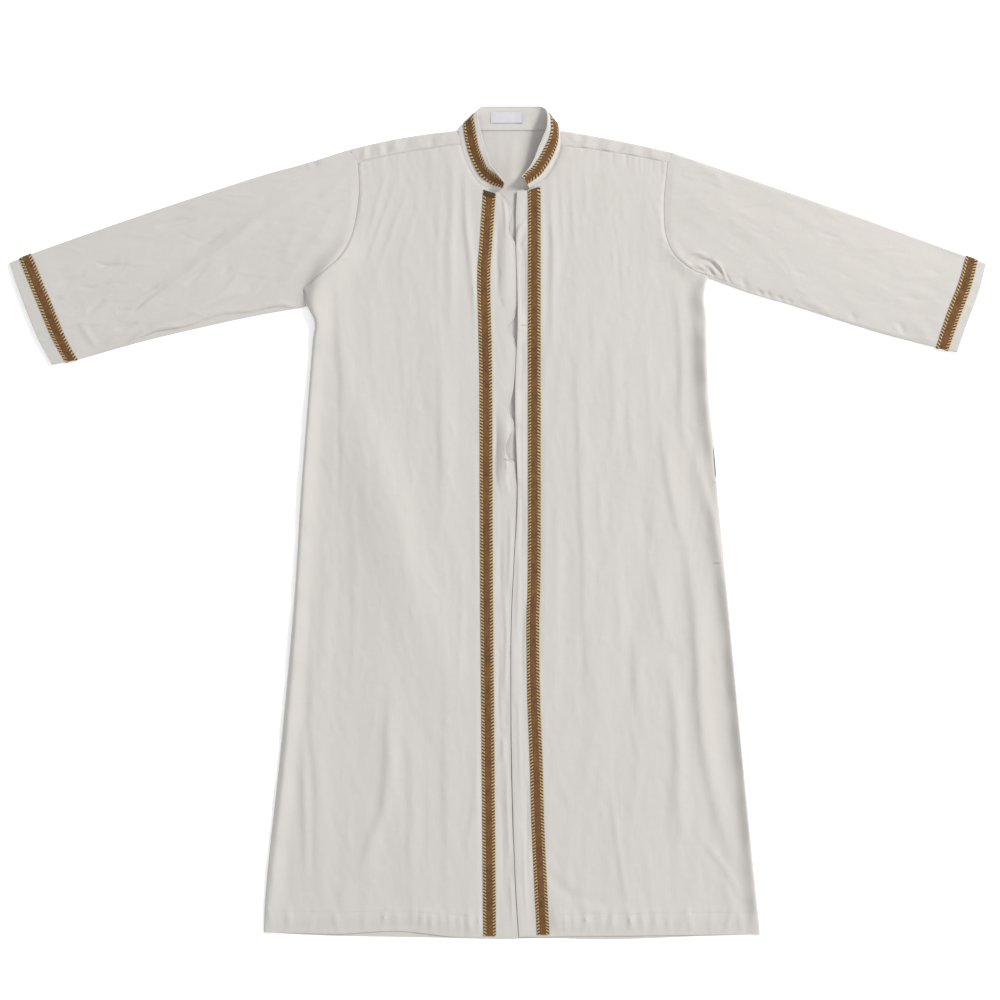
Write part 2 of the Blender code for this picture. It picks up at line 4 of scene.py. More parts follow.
import bpy
import numpy as np
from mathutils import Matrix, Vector


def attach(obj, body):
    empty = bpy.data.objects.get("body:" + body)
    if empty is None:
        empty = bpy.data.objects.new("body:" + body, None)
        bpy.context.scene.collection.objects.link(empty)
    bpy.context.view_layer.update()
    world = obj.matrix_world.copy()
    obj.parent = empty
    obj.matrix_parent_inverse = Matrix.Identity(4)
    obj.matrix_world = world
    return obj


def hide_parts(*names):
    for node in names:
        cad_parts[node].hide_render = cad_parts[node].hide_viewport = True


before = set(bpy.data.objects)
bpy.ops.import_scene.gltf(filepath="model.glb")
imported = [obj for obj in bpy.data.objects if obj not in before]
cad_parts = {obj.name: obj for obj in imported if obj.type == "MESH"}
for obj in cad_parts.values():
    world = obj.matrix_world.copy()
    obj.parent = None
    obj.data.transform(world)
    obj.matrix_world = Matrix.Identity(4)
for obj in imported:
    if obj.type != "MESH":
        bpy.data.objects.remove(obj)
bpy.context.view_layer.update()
bpy.ops.object.select_all(action="DESELECT")
print("frame loaded:", len(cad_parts), "nodes")

mm = 0.001
body = "root"

# Sizes that several pieces share
cut = {
    "cloth": 1.3 * mm,          # one layer as the solids have it
    "shell": 0.9 * mm,          # one layer as modelled here
    "backTop": 1.15 * mm,       # upper side of the back
    "tuck": 2.6 * mm,           # how far an edge runs on under its neighbour at a seam
    "gap": 0.3 * mm,            # between neighbouring pieces
    "clear": 0.02 * mm,         # least height above the floor
    "neckCentre": (19, 590),    # mm, middle of the neck opening
    "neckRadius": (79, 78),
    "neckLift": 3.4,            # mm that the collar holds up the neck edge
    "neckEase": 45,             # mm over which that dies out
    "shoulderY": 607.6,         # mm, the shoulder fold at the neck
    "backNeckY": 609.5,
    "skirtLevel": 284,          # mm, y below which every row runs level
    "yokeFrontRow": 2,          # armhole rows that meet the yoke's two seams and the underarm
    "yokeBackRow": 4,
    "underarmRow": 10,
    "neckRows": 4,
    "chestRows": 4,
    "underarmRows": 3,
    "skirtRows": 24,
    "yokeBow": 3 * mm,
    "stripUp": 0.5 * mm,        # how far the strips under the braids stand over the fronts
    "stripTop": 500 * mm,       # y where they start to wave
}
stack = 2 * cut["cloth"] + cut["gap"]       # top of a front that lies on the back

# Armholes from the shoulder fold to the underarm, x and y in mm
rightArmhole = ((-231, 578), (-221, 566), (-217, 558), (-215, 533), (-215, 507), (-219, 476), (-227, 443),
                (-242, 415), (-262, 395), (-282, 379), (-301, 364), (-299.4, 350), (-296.2, 335))
leftArmhole = ((270, 574), (266, 565), (263.5, 558), (261, 533), (258.5, 507), (258, 478), (260, 452),
               (267, 428), (280, 409), (302, 393), (326, 384), (328, 381), (330, 378))

# Side seams as y, x and the hem as x, y, in mm
rightSeam = ((364, -301), (337, -295), (310, -283), (284, -286), (211, -292), (158, -296), (42, -305),
             (-119, -315), (-352, -336), (-507, -353), (-584, -360), (-634, -362))
leftSeam = ((384, 326), (374, 320), (357, 319), (330, 323), (253, 325), (191, 328), (113, 336), (36, 342),
            (-119, 357), (-352, 379), (-507, 394), (-584, 402), (-637, 407))
hemLine = ((-362, -634), (-267, -639), (-105, -642), (4, -644), (81, -643), (177, -645), (314, -640),
           (407, -637))

# Middle of each front braid as y, x in mm
rightBraidLine = ((516, -12), (432, -18), (374, -21), (223, -18), (-56, -17), (-298, -15), (-643, -12))
leftBraidLine = ((521, 56), (493, 57), (346, 57), (-56, 57), (-149, 55), (-262, 56), (-369, 60),
                 (-476, 63), (-641, 71))

# Collar sections from the right front end to the left one: seam x, y, z and free edge x, y, z in mm
collarTable = (
    (5, 512, 6.3, 11, 524, 24), (-3, 513.5, 6.3, 1, 537, 22), (-12, 516.5, 6.3, -7, 548, 19),
    (-30, 528, 6.3, -12, 556, 18), (-43, 548, 6.3, -17, 573, 15.5), (-52, 568, 6.3, -21, 587, 14.5),
    (-57, 586, 6.3, -24, 598, 15), (-59.4, 599, 7.2, -27, 610, 16), (-60.2, 607, 8.2, -29, 620, 16.5),
    (-60, 611.5, 6.6, -30.5, 630, 15), (-58, 613, 4, -30.5, 637.5, 12.5),
    (-52, 611.5, 2.2, -28, 642.5, 10),
    (-42, 609.5, 1.7, -23, 644.5, 7), (-28, 608, 1.6, -15, 645, 6), (-6, 608, 1.6, -1, 645, 6),
    (20, 608, 1.6, 20, 645, 6), (46, 608, 1.6, 42, 645, 6), (67, 608, 1.6, 58, 645, 6.5),
    (80, 609.5, 1.7, 67, 644.5, 9.5), (90, 611.5, 2.2, 73, 641.5, 14.5), (96, 612.5, 4, 76, 636, 20.5),
    (98, 610.5, 6.6, 77, 629, 26.5), (98.2, 605, 8.2, 77, 619, 30.5), (98.6, 597, 7.2, 75.5, 609, 31.4),
    (98.4, 584, 6.3, 69, 596, 28), (94, 569, 6.3, 60, 580, 23), (84, 549, 6.3, 52, 565, 21),
    (72, 533, 6.3, 46, 554, 21.5), (56, 521.5, 6.3, 41, 543, 24), (50, 518, 6.3, 37.5, 535, 26.5))
collarPoints = np.array(collarTable, float) * mm


# Curves
# Catmull-Rom through rows of points, read at fractional row numbers
def curveAt(points, where):
    p = np.asarray(points, float)
    p = np.vstack((2 * p[0] - p[1], p, 2 * p[-1] - p[-2]))
    where = np.clip(np.atleast_1d(np.asarray(where, float)), 0, len(p) - 3)
    first = np.minimum(where.astype(int), len(p) - 4)
    t = (where - first)[:, None]
    a, b, c, d = p[first], p[first + 1], p[first + 2], p[first + 3]
    return 0.5 * (2 * b + (c - a) * t + (2 * a - 5 * b + 4 * c - d) * t**2 + (3 * b - a - 3 * c + d) * t**3)


def smoothCurve(points, steps=12):
    points = np.asarray(points, float)
    return curveAt(points, np.linspace(0, len(points) - 1, (len(points) - 1) * steps + 1)) * mm


def lengths(curve):
    return np.concatenate(([0], np.cumsum(np.linalg.norm(np.diff(curve, axis=0), axis=1))))


# Each column of a table read at places along a run
def readAt(where, run, table):
    return np.array([np.interp(where, run, column) for column in table.T]).T


def along(curve, distance):
    return readAt(distance, lengths(curve), curve)


# x of a seam given as y, x rows
def xAt(table, y):
    curve = smoothCurve(table)[::-1]
    return np.interp(y, curve[:, 0], curve[:, 1])


# The line at a distance to the left of a line of points, seen from above
def beside(points, distance):
    step = np.diff(points, axis=0)
    normal = np.column_stack((-step[:, 1], step[:, 0])) / np.linalg.norm(step, axis=1)[:, None]
    before = np.vstack((normal[:1], normal))
    after = np.vstack((normal, normal[-1:]))
    return points + distance * (before + after) / (1 + (before * after).sum(axis=1))[:, None]


def ramp(value, start, end):
    t = np.clip((value - start) / (end - start), 0, 1)
    return t * t * (3 - 2 * t)


# A soft ridge, 1 on its crest and dying out to both sides
def hump(off, width):
    return np.exp(-(off / width)**2)


def unit(vectors):
    return vectors / np.linalg.norm(vectors, axis=-1, keepdims=True)


# A quarter-round rise from 0 at an edge to 1 at the given distance inside it
def rollIn(distance, radius):
    return np.sqrt(1 - (1 - np.clip(distance / radius, 0, 1))**2)


# Relief
# Each crease: width of its left and right flank and its rise in mm, then the points of its crest
def creaseHeight(creases, x, y):
    height = np.zeros(x.shape)
    for left, right, rise, *points in creases:
        line = smoothCurve(points, 4)
        reach = 2.4 * max(left, right) * mm
        low = line.min(axis=0) - reach
        high = line.max(axis=0) + reach
        near = (x > low[0]) & (x < high[0]) & (y > low[1]) & (y < high[1])
        if not near.any():
            continue
        px, py = x[near], y[near]
        run = lengths(line)
        best = np.full(px.shape, np.inf)
        off = np.zeros(px.shape)
        part = np.zeros(px.shape)
        for i in range(len(line) - 1):
            step = line[i + 1] - line[i]
            size = np.hypot(*step)
            t = np.clip(((px - line[i, 0]) * step[0] + (py - line[i, 1]) * step[1]) / size**2, 0, 1)
            dx = px - line[i, 0] - t * step[0]
            dy = py - line[i, 1] - t * step[1]
            distance = np.hypot(dx, dy)
            closer = distance < best
            best[closer] = distance[closer]
            side = np.where(dy * step[0] - dx * step[1] < 0, -1, 1)
            off[closer] = (side * distance)[closer]
            part[closer] = (run[i] + t * size)[closer] / run[-1]
        width = np.where(off > 0, right, left) * mm
        fade = 0.7 if abs(rise) < 5 else 1.5
        height[near] += rise * mm * np.maximum(0, np.sin(np.pi * part))**fade * hump(off, width)
    return height


# Short seeded creases in a box, all running roughly one way
def scatterCreases(seed, count, low, high, heading, spread, size, width, rise):
    rng = np.random.default_rng(seed)
    found = []
    for _ in range(count):
        middle = np.array([rng.uniform(low[0], high[0]), rng.uniform(low[1], high[1])])
        angle = np.radians(heading + rng.normal(0, spread))
        way = np.array((np.cos(angle), np.sin(angle)))
        bend = np.array((-way[1], way[0])) * rng.normal(0, 0.08)
        half = rng.uniform(*size) / 2
        flank = rng.uniform(*width, 2)
        lift = rng.uniform(*rise) * (1 if rng.random() < 0.65 else -1)
        points = [middle - way * half, middle + bend * half, middle + way * half]
        found.append((flank[0], flank[1], lift, *points))
    return found


# Smooth seeded unevenness: cubic noise on a turned lattice, pitch in mm across and along
def unevenness(seed, x, y, pitch, turn=0.0):
    rng = np.random.default_rng(seed)
    lattice = rng.uniform(-1, 1, (64, 64))
    c, s = np.cos(np.radians(turn)), np.sin(np.radians(turn))
    u = ((x * c + y * s) / (pitch[0] * mm) + 31.3) % 60
    v = ((y * c - x * s) / (pitch[1] * mm) + 29.7) % 60
    iu, iv = u.astype(int), v.astype(int)
    fu, fv = u - iu, v - iv

    def weights(t):
        return (-0.5 * t + t**2 - 0.5 * t**3, 1 - 2.5 * t**2 + 1.5 * t**3,
                0.5 * t + 2 * t**2 - 1.5 * t**3, -0.5 * t**2 + 0.5 * t**3)

    total = np.zeros(x.shape)
    for j, wv in enumerate(weights(fv)):
        for i, wu in enumerate(weights(fu)):
            total += wu * wv * lattice[(iv + j) % 64, (iu + i) % 64]
    return total


# Layers of it laid on each other: rise in mm, pitch and turn of each
def unevenLayers(layers, seed, x, y):
    return sum(rise * mm * unevenness(seed + i, x, y, pitch, turn)
               for i, (rise, pitch, turn) in enumerate(layers))


# How far the collar holds the cloth round the neck up
def neckLift(x, y):
    ring = np.hypot((x / mm - cut["neckCentre"][0]) / cut["neckRadius"][0],
                    (y / mm - cut["neckCentre"][1]) / cut["neckRadius"][1])
    away = np.maximum(0, ring - 1) * cut["neckRadius"][0] / cut["neckEase"]
    return cut["neckLift"] * mm * hump(away, 1)


# Materials
# Wraps a socket, so that shader maths reads as an expression
class Value:
    def __init__(self, paint, socket):
        self.paint = paint
        self.socket = socket

    def make(self, operation, *values):
        return self.paint.node("ShaderNodeMath", {"operation": operation}, dict(enumerate(values)))

    def __add__(self, other):
        return self.make("ADD", self, other)

    __radd__ = __add__

    def __sub__(self, other):
        return self.make("SUBTRACT", self, other)

    def __rsub__(self, other):
        return self.make("SUBTRACT", other, self)

    def __mul__(self, other):
        return self.make("MULTIPLY", self, other)

    __rmul__ = __mul__

    def sine(self):
        return self.make("SINE", self)

    # The angle of a wave of this pitch
    def turns(self, pitch):
        return self * (2 * np.pi / pitch)


# One material and the nodes in it
class Paint:
    def __init__(self, name):
        self.material = bpy.data.materials.new(name)
        self.material.use_nodes = True
        self.nodes = self.material.node_tree.nodes
        self.links = self.material.node_tree.links
        self.shader = self.nodes["Principled BSDF"]

    # A node from its type, its settings, then values or links of its sockets
    def node(self, kind, settings=None, sockets=None, out=0):
        made = self.nodes.new(kind)
        for name, value in (settings or {}).items():
            setattr(made, name, value)
        for name, value in (sockets or {}).items():
            self.feed(made.inputs[name], value)
        return Value(self, made.outputs[out])

    def feed(self, socket, value):
        if isinstance(value, Value):
            self.links.new(value.socket, socket)
        else:
            socket.default_value = value

    # Inputs of the material's own shader
    def shade(self, values):
        for name, value in values.items():
            self.feed(self.shader.inputs[name], value)

    def uv(self):
        return self.node("ShaderNodeUVMap", {"uv_map": "weave"})

    def place(self):
        return self.node("ShaderNodeTexCoord", out=3)

    # The two numbers of a flat pattern
    def split(self, vector):
        made = self.node("ShaderNodeSeparateXYZ", None, {0: vector})
        return made, Value(self, made.socket.node.outputs[1])

    def scaled(self, vector, scale):
        return self.node("ShaderNodeMapping", {"vector_type": "POINT"}, {"Vector": vector, "Scale": scale})

    def noise(self, vector, scale, detail=3.0, rough=0.5, distort=0.0):
        return self.node("ShaderNodeTexNoise", None, {"Vector": vector, "Scale": scale, "Detail": detail,
                                                      "Roughness": rough, "Distortion": distort})

    def mix(self, factor, first, second):
        return self.node("ShaderNodeMix", {"data_type": "RGBA"}, {0: factor, 6: first, 7: second}, out=2)

    def bump(self, height):
        return self.node("ShaderNodeBump", None, {"Height": height, "Distance": 1.0, "Strength": 1.0})


# Plain-woven cloth: fine weave, slubs and a faint crumple
cloth = {
    "colour": (0.566, 0.541, 0.512, 1),
    "pale": (0.604, 0.578, 0.549, 1),
    "collar": (0.605, 0.580, 0.550, 1),
    "collarPale": (0.648, 0.622, 0.592, 1),
    "thread": 0.55 * mm,
    "weaveDepth": 0.035 * mm,
    "slubDepth": 0.05 * mm,
    "crumpleDepth": 0.6 * mm,
    "streakDepth": 0.5 * mm,
    "roughness": 0.86,
    "sheen": 0.06,
    "sheenRoughness": 0.5,
    "specular": 0.25,
}


def makeClothFinish(name, dark, light):
    paint = Paint(name)
    uv = paint.uv()
    u, v = paint.split(uv)
    weave = u.turns(cloth["thread"]).sine() * v.turns(cloth["thread"]).sine()
    warpSlub = paint.noise(paint.scaled(uv, (900, 26, 1)), 1.0, 2.0)
    weftSlub = paint.noise(paint.scaled(uv, (22, 1100, 1)), 1.0, 2.0)
    crumple = paint.noise(paint.place(), 30.0, 5.0, 0.55, 0.6)
    streak = paint.noise(paint.scaled(uv, (62, 17, 1)), 1.0, 4.0, 0.55, 0.5)
    slub = warpSlub + weftSlub - 1.0
    height = weave * cloth["weaveDepth"] + slub * cloth["slubDepth"] + crumple * cloth["crumpleDepth"]
    height = height + streak * cloth["streakDepth"]
    patch = paint.noise(paint.place(), 3.5, 2.0)
    tone = patch * 0.5 + slub * 0.9 + 0.25
    paint.shade({"Base Color": paint.mix(tone, dark, light), "Normal": paint.bump(height),
                 "Roughness": cloth["roughness"], "Sheen Weight": cloth["sheen"],
                 "Sheen Roughness": cloth["sheenRoughness"], "Specular IOR Level": cloth["specular"]})
    return paint.material


braid = {
    "width": 20 * mm,
    "cord": 5.6 * mm,           # width of the twisted cord along each edge
    "centre": 1.1 * mm,
    "lead": 4.9 * mm,           # one turn of the cord
    "reach": 11 * mm,           # how far to each side of its middle the cloth under it is read
    "plies": 4,                 # two gold, then two dark
    "plyOut": (1.7 * mm, 0.35 * mm),    # how far a ply runs from the cord's middle, across and up
    "plyHalf": (1.1 * mm, 0.45 * mm),   # half a ply's thickness, across and up
    "cordUp": 0.8 * mm,         # height of the cord's middle
    "bandEvery": 4,             # the plain band needs only every fourth ring
    "ringsPerTurn": 6,
    "paintedShadeEnd": 8.5 * mm,      # length of painted shade: a patch of dark thread over the right front braid's top end, where the collar's shadow falls
    "topLean": 0.3,             # a front braid's top edge slants, to run up under the collar
    "short": 3.5 * mm,          # from the neck seam and hem to its ends
}


# Brown twill band in the middle of the braid
def makeBandFinish():
    paint = Paint("braid band")
    u, v = paint.split(paint.uv())
    rib = (v.turns(0.9 * mm) + u.turns(1.3 * mm).sine() * 0.8).sine()
    fuzz = paint.noise(paint.scaled(paint.uv(), (700, 260, 1)), 1.0, 3.0)
    patch = paint.noise(paint.place(), 60.0, 2.0)
    worn = paint.noise(paint.place(), 260.0, 2.0)
    tone = rib * 0.12 + fuzz * 0.8 + worn * 1.3 + patch * 0.9 - 1.0
    paint.shade({"Base Color": paint.mix(tone, (0.070, 0.028, 0.007, 1), (0.212, 0.092, 0.026, 1)),
                 "Normal": paint.bump(rib * (0.06 * mm) + fuzz * (0.12 * mm)), "Roughness": 0.8})
    return paint.material


# Twisted thread of the cords, gold or dark
def makeThreadFinish(name, dark, light, metal, rough):
    paint = Paint(name)
    u, v = paint.split(paint.uv())
    strand = (u.turns(0.42 * mm) + v.turns(0.5 * mm)).sine()
    fleck = paint.noise(paint.place(), 420.0, 2.0)
    tone = strand * 0.18 + fleck * 1.1 - 0.05
    paint.shade({"Base Color": paint.mix(tone, dark, light), "Normal": paint.bump(strand * (0.07 * mm)),
                 "Metallic": metal, "Roughness": rough})
    return paint.material


# Satin label tape, fine ribs across
def makeLabelFinish():
    paint = Paint("label tape")
    u, v = paint.split(paint.uv())
    rib = u.turns(0.35 * mm).sine() * 0.6 + v.turns(0.5 * mm).sine() * 0.4
    fleck = paint.noise(paint.place(), 160.0, 2.0)
    tone = fleck * 0.8 + rib * 0.1
    paint.shade({"Base Color": paint.mix(tone, (0.60, 0.59, 0.62, 1), (0.70, 0.69, 0.72, 1)),
                 "Normal": paint.bump(rib * (0.03 * mm)), "Roughness": 0.55})
    return paint.material


finishes = {
    "cloth": makeClothFinish("robe cloth", cloth["colour"], cloth["pale"]),
    "collar": makeClothFinish("collar cloth", cloth["collar"], cloth["collarPale"]),
    "thread": makeThreadFinish("sewing thread", (0.50, 0.47, 0.44, 1), (0.62, 0.59, 0.56, 1), 0.0, 0.7),
    "band": makeBandFinish(),
    "gold": makeThreadFinish("gold thread", (0.37, 0.225, 0.075, 1), (0.93, 0.70, 0.34, 1), 0.25, 0.4),
    "dark": makeThreadFinish("dark thread", (0.046, 0.021, 0.005, 1), (0.122, 0.054, 0.013, 1), 0.1, 0.6),
    "label": makeLabelFinish(),
}
print("finishes made:", len(finishes))


# Meshes
def plainUv(points, turn=0.0):
    c, s = np.cos(np.radians(turn)), np.sin(np.radians(turn))
    across, up = points[..., 0], points[..., 1]
    return np.stack((across * c + up * s, up * c - across * s), axis=-1)


def addPiece(name, points, faces, uv, looks, faceLooks=None):
    mesh = bpy.data.meshes.new(name)
    mesh.from_pydata(points.tolist(), [], faces if isinstance(faces, list) else faces.tolist())
    layer = mesh.uv_layers.new(name="weave")
    corners = np.zeros(len(mesh.loops), int)
    mesh.loops.foreach_get("vertex_index", corners)
    layer.data.foreach_set("uv", uv.reshape(-1, 2)[corners].astype(np.float32).ravel())
    for look in looks:
        mesh.materials.append(finishes[look])
    if faceLooks is not None:
        mesh.polygons.foreach_set("material_index", faceLooks)
    mesh.polygons.foreach_set("use_smooth", np.ones(len(mesh.polygons), bool))
    mesh.update()
    piece = bpy.data.objects.new(name, mesh)
    bpy.context.scene.collection.objects.link(piece)
    return piece


# Gives a face its thickness, on the inner side
def giveWall(piece, thickness):
    wall = piece.modifiers.new("wall", "SOLIDIFY")
    wall.thickness = thickness
    wall.offset = -1
    bpy.ops.object.select_all(action="DESELECT")
    bpy.context.view_layer.objects.active = piece
    piece.select_set(True)
    bpy.ops.object.modifier_apply(modifier=wall.name)
    piece.select_set(False)


# Faces of a net of points. A ring joins its last column to the first, and a closed net its last row.
def gridFaces(rows, columns, ring=False, closed=False):
    number = np.arange(rows * columns).reshape(rows, columns)
    if closed:
        number = np.vstack((number, number[:1]))
    across = np.roll(number, -1, axis=1) if ring else number[:, 1:]
    here = number if ring else number[:, :-1]
    quads = np.stack((here[:-1], across[:-1], across[1:], here[1:]), axis=-1)
    return quads.reshape(-1, 4)


# Faces turned so that the one through three points looks up
def turnedUp(faces, a, b, c):
    return faces[:, ::-1] if np.cross(b - a, c - a)[2] < 0 else faces


# Whether a face through three points looks towards a middle
def looksIn(a, b, c, middle):
    return np.dot(np.cross(b - a, c - a), a - middle) < 0


# A shell of cloth from a net of points on its outer side. Up is a row and column where that side faces up.
def makeShell(name, grid, thickness, ring=False, uv=None, up=None, look="cloth"):
    rows, columns = grid.shape[:2]
    row, column = up or (rows // 2, columns // 2)
    three = grid[row, column], grid[row, column + 1], grid[row + 1, column]
    faces = turnedUp(gridFaces(rows, columns, ring), *three)
    uv = plainUv(grid) if uv is None else uv
    piece = addPiece(name, grid.reshape(-1, 3), faces, uv, [look])
    giveWall(piece, thickness)
    place = np.zeros(len(piece.data.vertices) * 3)
    piece.data.vertices.foreach_get("co", place)
    place[2::3] = np.maximum(place[2::3], cut["clear"])
    piece.data.vertices.foreach_set("co", place)
    piece.data.set_sharp_from_angle(angle=np.radians(sharp["cloth"]))
    return piece


def dress(piece, nodes):
    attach(piece, body)
    if nodes:
        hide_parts(*nodes)
    print("made", piece.name, len(piece.data.polygons), "faces")
    return piece


# Angle in degrees past which an edge is sharp
sharp = {"cloth": 50, "braid": 60, "thread": 70}


# Shared seams of each half
class Half:
    def __init__(self, sign, armhole, seam, braidLine, neckSections, chestLevel):
        self.sign = sign
        self.armhole = np.array(armhole, float) * mm
        self.braidLine = braidLine
        neck = collarPoints[list(neckSections), :2]
        self.neck = beside(neck, sign * cut["gap"])
        low = self.bodyArmhole(cut["underarmRow"])[0, 1]
        join = cut["skirtLevel"] * mm
        down = np.concatenate((np.linspace(low, join, cut["underarmRows"] + 1),
                               np.linspace(join, seam[-1][0] * mm, cut["skirtRows"] + 1)[1:]))
        self.seam = np.column_stack((xAt(seam, down), down))
        self.seam[0] = self.bodyArmhole(cut["underarmRow"])[0]
        top, chest = self.neck[-1, 1], chestLevel * mm
        self.levels = np.concatenate((np.linspace(top, chest, cut["chestRows"] + 1),
                                      np.linspace(chest, join, cut["underarmRows"] + 1)[1:],
                                      np.linspace(join, braidLine[-1][0] * mm, cut["skirtRows"] + 1)[1:]))

    # The sleeve's side of the armhole at fractional rows, with its corner at the underarm
    def armholeAt(self, row):
        row = np.atleast_1d(np.asarray(row, float))
        corner = cut["underarmRow"]
        upper = curveAt(self.armhole[:corner + 1], row)
        lower = curveAt(self.armhole[corner:], row - corner)
        return np.where((row <= corner)[:, None], upper, lower)

    # The body's side of it, one gap away
    def bodyArmhole(self, row):
        corner = cut["underarmRow"]
        row = np.clip(np.atleast_1d(np.asarray(row, float)), 0, corner)
        step = 0.01
        line = self.armhole[:corner + 1]
        way = unit(curveAt(line, row + step) - curveAt(line, row - step))
        normal = np.column_stack((-way[:, 1], way[:, 0]))
        return curveAt(line, row) - normal * self.sign * cut["gap"]

    # Outer edge of the front at fractional rows from the yoke's front seam down
    def outerAt(self, row):
        row = np.atleast_1d(np.asarray(row, float))
        corner = cut["underarmRow"] - cut["yokeFrontRow"]
        upper = self.bodyArmhole(row + cut["yokeFrontRow"])
        lower = curveAt(self.seam, row - corner)
        return np.where((row <= corner)[:, None], upper, lower)

    def levelAt(self, row):
        return np.interp(row, np.arange(len(self.levels)), self.levels)

    def centre(self, y):
        return xAt(self.braidLine, y)

    def innerAt(self, row):
        row = np.atleast_1d(np.asarray(row, float))
        level = self.levelAt(row - cut["neckRows"])
        lower = np.column_stack((self.centre(level) + self.sign * cut["gap"] / 2, level))
        return np.where((row < cut["neckRows"])[:, None], curveAt(self.neck, row), lower)

    # The strip under a braid lies flat across, and waves a little along, but not at the neck
    def stripHeight(self, y):
        wave = 0.4 * mm * np.sin(y / (61 * mm) + self.sign) + 0.3 * mm * np.sin(y / (23 * mm))
        middle = self.centre(y.ravel()).reshape(y.shape)
        return stack + cut["stripUp"] + neckLift(middle, y) + wave * ramp(cut["stripTop"] - y, 0, 50 * mm)


right = Half(-1, rightArmhole, rightSeam, rightBraidLine, (6, 5, 4, 3, 2), 356)
left = Half(1, leftArmhole, leftSeam, leftBraidLine, (24, 25, 26, 27, 28), 370)
frontRows = cut["neckRows"] + cut["chestRows"] + cut["underarmRows"] + cut["skirtRows"]
print("seams laid out")


# Fronts
front = {
    "columns": 70,              # strips between the two finely cut edges
    "outerEdge": (0, 0.3, 0.8, 1.4, 2.0, 2.8, 4.4, 6.4, 9, 12),   # mm in from the side seam
    "innerEdge": (19, 16, 13.5, 11, 6, 0),  # mm in from the braid's middle
    "inset": (16 * mm, 24 * mm),    # where the even strips start and end
    "sideStart": (7.7, 8.4),    # rows where the armhole gives way to the side seam
    "neckEnd": (3.6, 4.2),      # and the neck to the front's free edge
    "roll": {-1: 5.2 * mm, 1: 3.2 * mm},     # round side edge
    "seamRoll": 2.0 * mm,
    "seamDip": 0.75 * mm,
    "ridge": (0.35 * mm, 4.2 * mm, 2.2 * mm),   # beside the armhole seam: height, place and width
    "puffCrest": {-1: 5 * mm, 1: 2.5 * mm},  # the side folds stand up: their crest's distance from the edge
    "puffRise": 4.6 * mm,
    "braidEase": (10.5 * mm, 17 * mm),
    "creaseGain": 1.3,
    "chestCalm": 0.28,          # how much flatter the chest lies
    "chest": (120 * mm, 300 * mm),      # y over which that sets in
    "loft": 1.2 * mm,           # the panel swells a little between its edges
    "hemLoft": 1.5 * mm,        # and between the puckers above the hem
    # where relief sets in: from the armhole and neck seams, and in rows from the yoke seam and the hem
    "armEase": 7 * mm,
    "neckEase": 4 * mm,
    "yokeEase": (-0.02, 0.12),
    "hemEase": 1.6,
    # how far the cloth comes down and over how many rows
    "yokeDrop": (0.6 * mm, 0.05),
    "hemDrop": (0.7 * mm, 0.9),
    "hemEdge": (0.3 * mm, 0.03),
    "press": (0.6, 0.42),       # rows above the hem where its puckers are highest, and their reach
    "hemPuckerRise": (1.0, 1.9),        # least of a pucker and how much more, in mm
    "hemPuckerWide": (2.3, 2.0),
    "yokePuckerRise": (1.0, 1.0),
    "yokePuckerWide": 2.8 * mm,
    "seamPuckerAt": (4 * mm, 5 * mm),   # in from the armhole seam, and their reach
    "hemStitch": 0.904,         # rows above the hem, which is its fold
    "stitchDip": 0.13 * mm,
    "stitchWide": 0.05,
    "fine": 210,                # scattered small creases in each of the sets below
    # seed's step, strength, turn from upright, spread in degrees, length in m, then width and rise in mm
    "scatter": ((0, 1.1, 4, 14, (0.015, 0.09), (1.8, 5.0), (0.12, 0.6)),
                (7, 1.3, 0, 40, (0.008, 0.035), (1.2, 2.6), (0.08, 0.34))),
    "scatterBox": {-1: ((-0.37, -0.64), (-0.02, 0.57)), 1: ((0.05, -0.64), (0.41, 0.57))},
    "yokePucker": {-1: 0.3, 1: 0.7},        # strength of the puckers below the yoke seam
    "seamPucker": 0.9 * mm,
    "slit": (69 * mm, 118 * mm),        # y of the pocket opening in the left side seam
    "slitIn": 1.7 * mm,
    "slitWide": 0.8 * mm,
    "slitDepth": 4.5 * mm,
    "slitRim": 1.6 * mm,
    "slitRimIn": 0.5 * mm,
    "slitRimWide": 0.4 * mm,
    "slitFade": 6 * mm,
}
